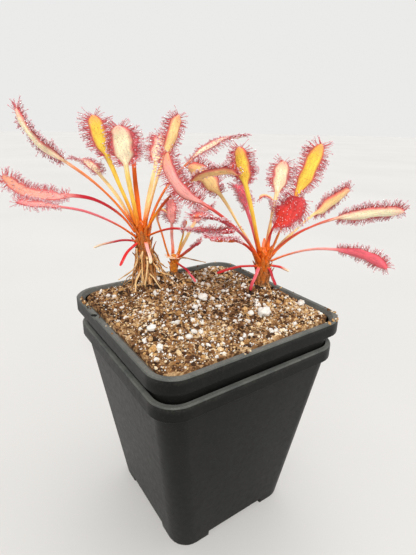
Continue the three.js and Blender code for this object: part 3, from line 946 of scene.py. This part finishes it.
def collar_finish():
    """Pale cut leaf bases, cream with a pink blush."""
    finish = Finish("collar")
    blush = finish.between(finish.noise(500.0, 3.0), 0.35, 0.7)
    blush = finish.add(finish.times(blush, 0.6), finish.attribute("age"))
    colour = finish.mix(blush, PALETTE["white_cream"], PALETTE["pale_pink"])
    bump = finish.bump(finish.noise(2400.0, 3.0), 0.08 * MM, 0.6)
    return finish.set(colour, 0.45, bump, (0.2, (1.0, 0.5, 0.3), 0.4))


def add_collar(node, count, length):
    """A pale ring of short flat leaf bases round a stem's top."""
    rng = random_for(node + " collar")
    low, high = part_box(node)
    along = np.linspace(0, 1, COLLAR_STEPS)
    height = high.z - rng.uniform(1.2, 2.2, count) * MM
    middle = stem_axis(node, height)
    outward = level(np.arange(count) * GOLDEN_ANGLE)
    reach = 0.5 * stem_radius(node) + length * rng.uniform(0.8, 1.15, count)[:, None] * along
    paths = middle[:, None] + reach[..., None] * outward[:, None]
    paths[..., 2] += 0.5 * MM * along**2
    up = np.broadcast_to(np.array([0.0, 0.0, 1.0]), paths.shape)
    halves = np.interp(along, [0, 0.6, 1], [0.9, 1.0, 0.5]) * MM * np.ones((count, 1))
    skin = straps(paths, up, halves, np.full((count, COLLAR_STEPS), 0.45 * MM), 0.2)
    age = np.broadcast_to(rng.uniform(0.0, 0.25, (count, 1)), (count, COLLAR_STEPS))
    add_straps(node + "_collar", skin, collar_finish(), "stem", {"age": age})


WITHERED = {  # grain, how far it shifts the tone, colours by tone, roughness, glow
    "dead_leaf": (900.0, 0.2, [
        (0.0, (0.26, 0.115, 0.038)),
        (0.4, (0.52, 0.26, 0.085)),
        (0.75, (0.74, 0.44, 0.17)),
        (1.0, (0.86, 0.60, 0.30)),
    ], 0.6, (0.1, (1.0, 0.5, 0.2), 0.4)),
    # old leaf sheaths: rusty orange where they are fresh, brown where they have rotted
    "sheath": (1100.0, 0.25, [
        (0.0, (0.14, 0.055, 0.018)),
        (0.35, (0.34, 0.120, 0.030)),
        (0.7, (0.58, 0.210, 0.045)),
        (1.0, (0.70, 0.360, 0.120)),
    ], 0.65, (0.1, (1.0, 0.4, 0.15), 0.4)),
}


def withered_finish(name):
    """Dry fibrous skin, its colour by the tone of each strap."""
    scale, shift, colours, rough, glow = WITHERED[name]
    finish = Finish(name)
    fibre = finish.noise(scale, 4.0, 0.6)
    tone = finish.add(finish.attribute("tone"), finish.waver(fibre, -shift, shift))
    bump = finish.bump(fibre, 0.2 * MM, 0.7)
    return finish.set(finish.ramp(tone, colours), rough, bump, glow)


def add_dead_strand(node, tone, material):
    """A shrivelled leaf stalk or root: the CAD strand's middle line, with kinks and a taper."""
    rng = random_for(node)
    spots = cad_spots(node)[0]
    axis = spots - spots.mean(axis=0)
    trend = np.linalg.svd(axis, full_matrices=False)[2][0]
    reach = axis @ trend
    cuts = np.quantile(reach, np.linspace(0, 1, STRAND_CUTS + 1))
    middles = [spots[(reach >= a - 1e-7) & (reach <= b + 1e-7)].mean(axis=0)
               for a, b in zip(cuts[:-1], cuts[1:])]
    middles = np.array(middles)
    if middles[0][2] < middles[-1][2]:
        middles = middles[::-1]
    path = smooth_rows(middles, np.linspace(0, len(middles) - 1, STRAND_STEPS))
    share = np.linspace(0, 1, STRAND_STEPS)
    phase = rng.uniform(0, ANY_PHASE, 4)
    kinks = 0.25 * MM * np.stack([
        np.sin(9 * share + phase[0]), np.sin(11 * share + phase[1]), np.sin(7 * share + phase[2]),
    ], axis=-1)
    radius = 0.42 * MM * (1.1 - 0.5 * share) * (1 + 0.2 * np.sin(17 * share + phase[3]))
    vertices, faces = tubes((path + kinks)[None], radius[None], STRAND_SIDES)
    shades = tone + 0.15 * np.sin(13 * share + phase[3])
    add_piece(node + "_skin", vertices, faces, material, "dead_leaf",
              {"tone": laid_out(shades[None], STRAND_SIDES)}, replaces=node)


def add_dead_leaves(name, node, count, top_share, reach, material, ground):
    """Shrivelled stalks that hang from the stem, splay outwards and end in the peat."""
    rng = random_for(name)
    low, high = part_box(node)
    along = np.linspace(0, 1, DEAD_STEPS)
    paths = np.empty((count, DEAD_STEPS, 3))
    for index in range(count):
        angle = rng.uniform(0, 2 * np.pi)
        start = low.z + rng.uniform(*top_share) * (high.z - low.z)
        middle = stem_axis(node, np.array([start]))[0]
        out = rng.uniform(*reach) * MM
        heading = np.array([math.cos(angle), math.sin(angle), 0.0])
        drift = np.array([-heading[1], heading[0], 0.0]) * rng.normal(0, 0.35) * out
        foot = middle + heading * out + drift
        foot[2] = ground(*foot[:2]) - 0.6 * MM
        root = middle + 0.7 * stem_radius(node) * heading
        knee = root + 0.42 * out * heading + np.array([0, 0, rng.uniform(-1.5, 1.6) * MM])
        curve = (1 - along)[:, None] ** 2 * root + 2 * ((1 - along) * along)[:, None] * knee
        curve = curve + along[:, None] ** 2 * foot
        wave = rng.uniform(0, ANY_PHASE, 3)
        kinks = 0.35 * MM * np.sin(along[:, None] * rng.uniform(6, 12) + wave)
        paths[index] = curve + kinks * np.sin(np.pi * along)[:, None]
    outward = paths - paths.mean(axis=(0, 1))
    outward = unit(outward * [1, 1, 0.2])
    half = rng.uniform(0.28, 0.75, (count, 1)) * MM * np.interp(along, [0, 0.5, 1], [1.2, 0.9, 0.5])
    thickness = np.full((count, DEAD_STEPS), 0.32 * MM)
    skin = straps(paths, outward, half, thickness, 0.5)
    tone = rng.uniform(0.0, 1.0, (count, 1)) + np.zeros((1, DEAD_STEPS))
    add_straps(name, skin, material, "dead_leaf", {"tone": tone})


def stem_radius(node):
    """Roughly how far a stem reaches from its middle."""
    low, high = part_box(node)
    return 0.42 * min(high.x - low.x, high.y - low.y)


# ---------------------------------------------------------------- soil

SOIL_GRID = 132
SOIL_CORNER = 8 * MM  # radius of the soil's corners in plan
CRUST_DEPTH = 12 * MM
ABOVE = 50 * MM  # how far over a surface a search for it starts
STEM_CLEARANCE = 4.4 * MM  # soil nearer to a stem than this is read from outside it
SOIL_LEAST = 50 * MM  # what is lower than this over the soil's foot is not its top


class Ground:
    """The top of the CAD soil, read as a height over x and y, with the planting holes bridged."""

    def __init__(self):
        self.tree = cad_tree("potting_soil")
        self.low, self.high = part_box("potting_soil")
        self.middle = (self.low + self.high) / 2
        self.half = (self.high.x - self.low.x) / 2
        crowns = [plant + "_crown" for plant in LEAF_LOOKS]
        self.stems = [stem_axis(crown, np.array([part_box(crown)[0].z]))[0] for crown in crowns]

    def __call__(self, x, y):
        for stem_x, stem_y, _ in self.stems:
            away = math.hypot(x - stem_x, y - stem_y)
            if away < STEM_CLEARANCE:
                push = STEM_CLEARANCE / max(away, 1e-6)
                x, y = stem_x + (x - stem_x) * push, stem_y + (y - stem_y) * push
        inside = self.half - 0.15 * MM
        x = min(max(x, self.middle.x - inside), self.middle.x + inside)
        y = min(max(y, self.middle.y - inside), self.middle.y + inside)
        height = height_below(self.tree, x, y, self.high.z + ABOVE)
        return height if height and height > self.low.z + SOIL_LEAST else self.high.z - 5 * MM


def squared(u, v, half, radius):
    """A point of the unit square, moved into a square with rounded corners."""
    x, y = u * half, v * half
    inner = half - radius
    over_x, over_y = max(abs(x) - inner, 0), max(abs(y) - inner, 0)
    if over_x and over_y:
        corner = math.hypot(over_x, over_y)
        squeeze = min(1.0, max(over_x, over_y) / corner)
        x = math.copysign(inner + over_x * squeeze, x)
        y = math.copysign(inner + over_y * squeeze, y)
    return x, y


def soil_finish():
    """Damp peat: dark crumbs, brown fibres and tan bark dust."""
    finish = Finish("peat")
    patches = finish.noise(95.0, 4.0, 0.6)
    crumb_tone = finish.part_of(finish.cells(900.0, "Color"), "X")
    fine = finish.noise(1900.0, 4.0, 0.7)
    value = finish.add(finish.times(crumb_tone, 0.5), finish.times(fine, 0.5))
    value = finish.add(value, finish.between(patches, 0.35, 0.65, -0.16, 0.14))
    colour = finish.ramp(value, [
        (0.10, (0.026, 0.013, 0.006)),
        (0.34, (0.105, 0.047, 0.018)),
        (0.52, (0.28, 0.140, 0.056)),
        (0.70, (0.55, 0.35, 0.17)),
        (0.90, (0.80, 0.62, 0.40)),
    ])
    height = finish.add(finish.cells(900.0), finish.times(fine, 0.7))
    bump = finish.bump(height, 0.5 * MM, 0.9)
    return finish.set(colour, 0.92, bump, Specular_IOR_Level=0.25)


def crumb_finish():
    """Loose peat, from damp and dark (tone 0) to dry bark dust (tone 1)."""
    finish = Finish("peat_crumb")
    grain = finish.waver(finish.noise(2200.0, 3.0, 0.6), -0.10, 0.10)
    colour = finish.ramp(finish.add(finish.attribute("tone"), grain), [
        (0.00, (0.026, 0.013, 0.007)),
        (0.25, (0.095, 0.040, 0.016)),
        (0.45, (0.29, 0.130, 0.044)),
        (0.62, (0.58, 0.33, 0.12)),
        (0.80, (0.82, 0.59, 0.31)),
        (1.00, (0.92, 0.80, 0.60)),
    ])
    bump = finish.bump(finish.noise(2600.0, 4.0, 0.7), 0.2 * MM, 0.9)
    return finish.set(colour, 0.88, bump, Specular_IOR_Level=0.3)


def perlite_finish():
    """Expanded volcanic glass: chalky white, pitted, a little stained by the peat."""
    finish = Finish("perlite")
    stain = finish.between(finish.noise(500.0, 4.0, 0.6), 0.5, 0.8, 0.0, 0.45)
    colour = finish.mix(stain, (0.90, 0.88, 0.83), (0.50, 0.36, 0.20))
    pits = finish.add(finish.cells(2600.0), finish.noise(1500.0, 3.0))
    bump = finish.bump(pits, 0.22 * MM, 0.9)
    return finish.set(colour, 0.7, bump, (0.15, (1.0, 0.95, 0.85), 0.5))


def patch(x, y, scale, depth):
    """Smooth noise in plan, with patches of a size in mm; another depth is another pattern."""
    return noise.noise(Vector((x / (scale * MM), y / (scale * MM), depth)))


def rough_height(x, y):
    """Bumps of the crust, in metres."""
    waves = ((7.0, 0.55, 3.1), (2.6, 0.55, 7.7), (1.1, 0.36, 1.3))  # scale, height in mm, depth
    return sum(amount * patch(x, y, scale, depth) for scale, amount, depth in waves) * MM


def add_soil_crust(ground):
    """The crumbly top of the peat, a closed slab that lies over the CAD soil's top."""
    half = ground.half + 0.12 * MM
    floor = ground.high.z - CRUST_DEPTH
    grid = np.empty((SOIL_GRID, SOIL_GRID, 3))
    for row, v in enumerate(np.linspace(-1, 1, SOIL_GRID)):
        for column, u in enumerate(np.linspace(-1, 1, SOIL_GRID)):
            x, y = squared(u, v, half, SOIL_CORNER)
            x, y = x + ground.middle.x, y + ground.middle.y
            calm = 1 - 0.6 * max(0.0, (max(abs(u), abs(v)) - 0.9) / 0.1)
            grid[row, column] = (x, y, ground(x, y) + 0.25 * MM + calm * rough_height(x, y))
    index = np.arange(SOIL_GRID**2).reshape(SOIL_GRID, SOIL_GRID)
    border = np.concatenate([index[0], index[1:, -1], index[-1, -2::-1], index[-2:0:-1, 0]])
    top = grid.reshape(-1, 3)
    skirt = top[border] * [1, 1, 0] + [0, 0, floor]
    vertices = np.concatenate([top, skirt, [[ground.middle.x, ground.middle.y, floor]]])
    faces = np.stack([index[:-1, :-1], index[:-1, 1:], index[1:, 1:], index[1:, :-1]], -1)
    faces = faces.reshape(-1, 4).tolist()
    count, base = len(border), SOIL_GRID**2
    for step in range(count):
        after = (step + 1) % count
        faces.append([int(border[after]), int(border[step]), base + step, base + after])
        faces.append([base + after, base + step, base + count])
    add_piece("soil_crust", vertices, faces, soil_finish(), "peat")
    return BVHTree.FromPolygons([Vector(v) for v in vertices], faces)


def scattered(rng, count, ground, margin):
    """Random places on the soil's plan, inside its rounded outline."""
    half = ground.half - margin
    places = []
    while len(places) < count:
        x, y = rng.uniform(-half, half, 2)
        over_x, over_y = abs(x) - (half - SOIL_CORNER), abs(y) - (half - SOIL_CORNER)
        if min(over_x, over_y) <= 0 or math.hypot(over_x, over_y) <= SOIL_CORNER:
            places.append((x + ground.middle.x, y + ground.middle.y))
    return np.array(places)


def resting(places, crust, sink):
    """Centres that lie on the crust, sunk by the given depths."""
    centres = np.empty((len(places), 3))
    for row, (x, y) in enumerate(places):
        centres[row] = (x, y, height_below(crust, x, y, 300 * MM) - sink[row])
    return centres


def sizes_about(rng, middle, spread, smallest, largest, count):
    """Grain sizes in metres from millimetres, bunched about a middle one."""
    return np.clip(rng.lognormal(math.log(middle), spread, count), smallest, largest) * MM


def add_grains(name, grains, tone=None, material=None):
    """A piece of loose grains from lumps: peat of the given tones, or perlite."""
    vertices, faces, corners = grains
    if tone is None:
        add_piece(name, vertices, faces, material, "perlite", smooth=False)
    else:
        tones = np.repeat(np.clip(tone, 0, 1), corners)
        add_piece(name, vertices, faces, crumb_finish(), "peat", {"tone": tones}, smooth=False)


CRUMBS = 4300
CLUMPS = 330
DARKER_CLUMPS = 130  # round each plant
SAND = 1300
PERLITE_GRAINS = 360
FIBRES = 620
FIBRE_STEPS = 6
FIBRE_SIDES = 4
RIM_SPREAD = 0.014  # across the rim, as a share of the pot's half width
RIM_EDGE = 0.985  # how near the rim's outer edge a grain may lie
SPILLS = [  # where crumbs lie on the inner pot's rim: x and y from its middle, spread, how many
    (0.97, -0.90, 0.07, 46), (0.86, -0.97, 0.07, 22), (-0.965, 0.62, 0.05, 26), (-0.96, 0.35, 0.30, 12),
    (-0.20, -0.965, 0.03, 8), (0.965, 0.2, 0.40, 16), (0.1, 0.965, 0.5, 18),
]


def add_spilled_crumbs():
    """Peat that lies on the inner pot's rim, thickest at one corner and beside the nick."""
    rng = random_for("spilled crumbs")
    low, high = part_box("inner_pot")
    middle, half = (low + high) / 2, (high.x - low.x) / 2
    tree = cad_tree("inner_pot")
    centres, sizes = [], []
    for near_x, near_y, spread, count in SPILLS:
        spreads = (spread, RIM_SPREAD) if abs(near_y) > abs(near_x) else (RIM_SPREAD, spread)
        for _ in range(count):
            u, v = np.clip([near_x + rng.normal(0, spreads[0]), near_y + rng.normal(0, spreads[1])],
                           -RIM_EDGE, RIM_EDGE)
            size = rng.uniform(0.5, 1.5) * MM
            x, y = middle.x + u * half, middle.y + v * half
            height = height_below(tree, x, y, high.z + ABOVE)
            if height and height > high.z - 4 * MM:
                centres.append([x, y, height + 0.12 * size])
                sizes.append(size)
    grains = lumps(rng, np.array(centres), np.array(sizes), 1, 0.16, 0.5)
    add_grains("spilled_crumbs", grains, rng.beta(1.6, 1.4, len(sizes)))


def add_peat(ground, crust):
    """Loose crumbs and clumps of peat, and darker clumps round the plants' feet, where the crumbs are
    darker too.
    """
    rng = random_for("peat crumbs")
    sizes = sizes_about(rng, 0.85, 0.42, 0.4, 3.0, CRUMBS)
    places = scattered(rng, CRUMBS, ground, 0.6 * MM)
    centres = resting(places, crust, -0.08 * sizes)
    near = np.min([np.hypot(*(places - stem[:2]).T) for stem in ground.stems], axis=0)
    front = (ground.middle.y - places[:, 1]) / ground.half
    patches = np.array([patch(x, y, 16, 4.4) for x, y in places])
    tone = rng.beta(1.5, 1.6, CRUMBS) + 0.55 * patches + 0.10 * front
    # crumbs are made darker the nearer they lie to a stem
    tone = tone - 0.35 * np.exp(-((near / (12 * MM)) ** 2))
    add_grains("peat_crumbs", lumps(rng, centres, sizes, 1, 0.16, 0.5), tone)

    rng = random_for("peat clumps")
    sizes = sizes_about(rng, 2.1, 0.3, 1.4, 4.6, CLUMPS)
    places = scattered(rng, CLUMPS, ground, 2.0 * MM)
    centres = resting(places, crust, 0.12 * sizes)
    patches = np.array([patch(x, y, 14, 9.1) for x, y in places])
    tone = rng.beta(1.2, 2.2, CLUMPS) + 0.3 * patches
    add_grains("peat_clumps", lumps(rng, centres, sizes, 2, 0.13, 0.45), tone)

    # darker clumps round each plant's foot
    rng = random_for("damp peat")
    around = []
    for stem_x, stem_y, _ in ground.stems:
        for _ in range(DARKER_CLUMPS):
            turn, reach = rng.uniform(0, 2 * np.pi), abs(rng.normal(0, 7.5 * MM)) + 2.5 * MM
            around.append((stem_x + reach * math.cos(turn), stem_y + reach * math.sin(turn)))
    around = np.array(around)
    away = np.abs(around - [ground.middle.x, ground.middle.y]).max(axis=1)
    places = around[away < ground.half - 3 * MM]
    sizes = sizes_about(rng, 1.6, 0.4, 0.8, 4.0, len(places))
    grains = lumps(rng, resting(places, crust, 0.05 * sizes), sizes, 2, 0.15, 0.55)
    add_grains("darker_peat", grains, rng.beta(1.1, 3.2, len(places)))


PERLITE_PATCHES = [(20 * MM, 34 * MM), (-34 * MM, -34 * MM)]  # from the soil's middle; larger grains


def add_perlite(ground, crust):
    """Small perlite grains and dust, and rough skins for the four grains of the CAD."""
    perlite = perlite_finish()
    rng = random_for("perlite grains")
    sizes = sizes_about(rng, 1.25, 0.4, 0.8, 3.2, PERLITE_GRAINS)
    places = scattered(rng, PERLITE_GRAINS, ground, 1.4 * MM)
    middle = np.array([ground.middle.x, ground.middle.y])
    away = np.min([np.linalg.norm(places - (middle + spot), axis=1) for spot in PERLITE_PATCHES], axis=0)
    sizes = sizes * (1 + 0.35 * np.exp(-((away / (16 * MM)) ** 2)))
    grains = lumps(rng, resting(places, crust, -0.12 * sizes), sizes, 2, 0.12, 0.6)
    add_grains("perlite_grains", grains, material=perlite)

    rng = random_for("sand")
    sizes = rng.uniform(0.3, 0.8, SAND) * MM
    places = scattered(rng, SAND, ground, 0.5 * MM)
    grains = lumps(rng, resting(places, crust, -0.45 * sizes), sizes, 1, 0.12, 0.7)
    add_grains("perlite_dust", grains, material=perlite)

    for index in range(4):
        node = f"perlite_{index + 1:02d}"
        low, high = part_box(node)
        centre = np.array([(low + high) / 2])
        size = np.array([1.12 * (high.x - low.x)])
        shape, shape_faces = icosphere(3)
        bumps = np.array([
            0.42 * noise.noise(Vector(corner * 1.7 + index * 5)) + 0.24 * noise.noise(Vector(corner * 4))
            + 0.08 * noise.noise(Vector(corner * 11)) for corner in shape
        ])
        lump = shape * (1 + bumps)[:, None] * [0.5, 0.44, 0.36] * size
        add_piece(node + "_grain", centre + lump, shape_faces.tolist(), perlite, "perlite", replaces=node)


def add_fibres(ground, crust):
    """Bent bark fibres, lying on the crust."""
    rng = random_for("fibres")
    places = scattered(rng, FIBRES, ground, 2.5 * MM)
    centres = resting(places, crust, np.full(FIBRES, -0.35 * MM))
    heading = rng.uniform(0, 2 * np.pi, FIBRES)
    length = rng.uniform(1.2, 4.2, FIBRES) * MM
    along = np.linspace(-0.5, 0.5, FIBRE_STEPS)
    ahead = level(heading)
    beside = np.cross([0, 0, 1.0], ahead)
    curve = rng.normal(0, 0.5, FIBRES)
    lift = rng.uniform(-0.1, 0.35, FIBRES)
    paths = (centres[:, None] + length[:, None, None] * (
        along[None, :, None] * ahead[:, None]
        + (curve[:, None] * along**2)[..., None] * beside[:, None]))
    paths[..., 2] += length[:, None] * lift[:, None] * (along + 0.5) ** 2
    radii = rng.uniform(0.06, 0.17, (FIBRES, 1)) * MM * np.interp(along, [-0.5, 0, 0.5], [0.7, 1, 0.4])
    vertices, faces = tubes(paths, radii, FIBRE_SIDES)
    tone = np.repeat(rng.uniform(0.3, 1.0, (FIBRES, 1)), FIBRE_STEPS, axis=1)
    add_piece("bark_fibres", vertices, faces, crumb_finish(), "peat",
              {"tone": laid_out(tone, FIBRE_SIDES)})


# ---------------------------------------------------------------- stage, lights and camera


def floor_finish():
    """Pale matt paper, faintly uneven."""
    finish = Finish("floor")
    soft = finish.noise(3.0, 2.0, 0.5)
    colour = finish.ramp(soft, [(0.3, (0.68, 0.675, 0.665)), (0.7, (0.72, 0.715, 0.705))])
    return finish.set(colour, 0.7)


FLOOR_RADIUS = 6.0
FLOOR_GAP = 0.2 * MM  # under the pot's feet


def add_floor():
    """A wide pale floor just under the pot."""
    bpy.ops.mesh.primitive_circle_add(vertices=96, radius=FLOOR_RADIUS, fill_type="NGON",
                                      location=(0, 0, -FLOOR_GAP))
    floor = bpy.context.object
    floor.name = "floor"
    floor.data.materials.append(floor_finish())


def add_sun(name, offset, spread, strength, colour):
    """A distant soft light that shines from an offset towards the plant."""
    lamp = bpy.data.lights.new(name, "SUN")
    lamp.angle = math.radians(spread)
    lamp.energy = strength
    lamp.color = colour
    light = bpy.data.objects.new(name, lamp)
    light.rotation_euler = (-Vector(offset)).to_track_quat("-Z", "Y").to_euler()
    bpy.context.scene.collection.objects.link(light)


SKY = [(0.25, (0.83, 0.828, 0.82, 1.0)), (0.70, (0.34, 0.345, 0.35, 1.0))]  # horizon, overhead
SUNS = {  # offset it shines from, width in degrees, strength, colour
    "key": ((-0.42, -0.66, 0.80), 14, 2.3, (1.0, 0.97, 0.93)),
    "top": ((0.15, 0.20, 1.0), 40, 0.7, (1.0, 0.98, 0.95)),
    "fill": ((0.85, -0.45, 0.40), 50, 0.35, (0.95, 0.97, 1.0)),
}


def add_lights():
    """Three soft suns, and a sky that is pale at the horizon."""
    for name, sun in SUNS.items():
        add_sun(name, *sun)
    world = bpy.data.worlds.new("studio")
    world.use_nodes = True
    nodes, links = world.node_tree.nodes, world.node_tree.links
    place = nodes.new("ShaderNodeTexCoord")
    parts = nodes.new("ShaderNodeSeparateXYZ")
    sky = nodes.new("ShaderNodeValToRGB")
    for element, (position, colour) in zip(sky.color_ramp.elements, SKY):
        element.position, element.color = position, colour
    links.new(place.outputs["Generated"], parts.inputs["Vector"])
    links.new(parts.outputs["Z"], sky.inputs["Fac"])
    links.new(sky.outputs["Color"], nodes["Background"].inputs["Color"])
    bpy.context.scene.world = world
    bpy.context.scene.view_settings.view_transform = "Standard"


# fitted to the straight edges of the pots in the photo
CAMERA_PLACE = (-92.1, -139.2, 177.8)  # mm from the middle of the outer pot's foot
CAMERA_HEADING = -34.41  # degrees
CAMERA_DIP = 21.07
CAMERA_ROLL = 0.889
CAMERA_LENS = 26.575  # mm, on a 36 mm sensor


def add_camera():
    """Above and to the left of the pot's front corner, looking down at the photo's angle."""
    low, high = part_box("outer_pot")
    foot = Vector(((low.x + high.x) / 2, (low.y + high.y) / 2, low.z))
    camera = bpy.data.objects.new("camera", bpy.data.cameras.new("camera"))
    camera.data.lens = CAMERA_LENS
    camera.data.sensor_width = 36.0
    camera.data.clip_start = 10 * MM
    turn = Matrix.Rotation(math.radians(CAMERA_HEADING), 4, "Z")
    tilt = Matrix.Rotation(math.radians(90 - CAMERA_DIP), 4, "X")
    roll = Matrix.Rotation(math.radians(CAMERA_ROLL), 4, "Z")
    place = foot + Vector(CAMERA_PLACE) * MM
    camera.matrix_world = Matrix.Translation(place) @ turn @ tilt @ roll
    bpy.context.scene.collection.objects.link(camera)
    bpy.context.scene.camera = camera


# ---------------------------------------------------------------- assembly

add_camera()
add_lights()
add_floor()

for pot_node in ("outer_pot", "inner_pot"):
    dress_pot(pot_node)

soil_node = frame["nodes"]["potting_soil"]
soil_node.data.materials.clear()
soil_node.data.materials.append(soil_finish())
ground = Ground()
crust = add_soil_crust(ground)
add_peat(ground, crust)
add_perlite(ground, crust)
add_spilled_crumbs()
add_fibres(ground, crust)

left_stem = add_stem("left_crown", 3.0 * MM, [0.75, 0.45, 0.05], PALETTE["orange"])
add_leaf_bases("left_crown", 46, 2.9 * MM, 8.5 * MM, [0.30, 0.34], [0.65, 0.35, 0.0], left_stem)
right_stem = add_stem("right_crown", 3.1 * MM, [0.75, 0.25, 0.05], PALETTE["orange"])
add_leaf_bases("right_crown", 40, 3.1 * MM, 7.0 * MM, [0.24, 0.36], [0.5, 0.16, 0.0], right_stem)
small_stem = add_stem("plantlet_crown", 1.7 * MM, [0.6, 0.2, 0.05], PALETTE["amber"])
add_leaf_bases("plantlet_crown", 16, 1.6 * MM, 3.8 * MM, [0.2, 0.5], [0.3, 0.1, 0.0], small_stem)
add_collar("plantlet_crown", 14, 3.6 * MM)

dead = withered_finish("dead_leaf")
for strand, strand_tone in enumerate((0.75, 0.7, 0.6, 0.85, 0.35)):
    add_dead_strand(f"dead_strand_{strand + 1:02d}", strand_tone, dead)
for name, crown, count, top_share, reach in (
    ("left_dead_leaves", "left_crown", 36, (0.15, 0.62), (4.0, 13.0)),
    ("left_sheaths", "left_crown", 60, (0.25, 0.80), (2.0, 6.0)),
    ("right_dead_leaves", "right_crown", 9, (0.1, 0.35), (3.0, 6.5)),
    ("right_sheaths", "right_crown", 30, (0.15, 0.55), (1.6, 3.6)),
):
    material = withered_finish("sheath") if "sheaths" in name else dead
    add_dead_leaves(name, crown, count, top_share, reach, material, ground)

add_cut_stalks()
tentacle_total = add_leaves()

triangles = sum(len(polygon.vertices) - 2 for piece in bpy.context.scene.objects
                if piece.type == "MESH" for polygon in piece.data.polygons)
print("tentacles", tentacle_total, "triangles", triangles)
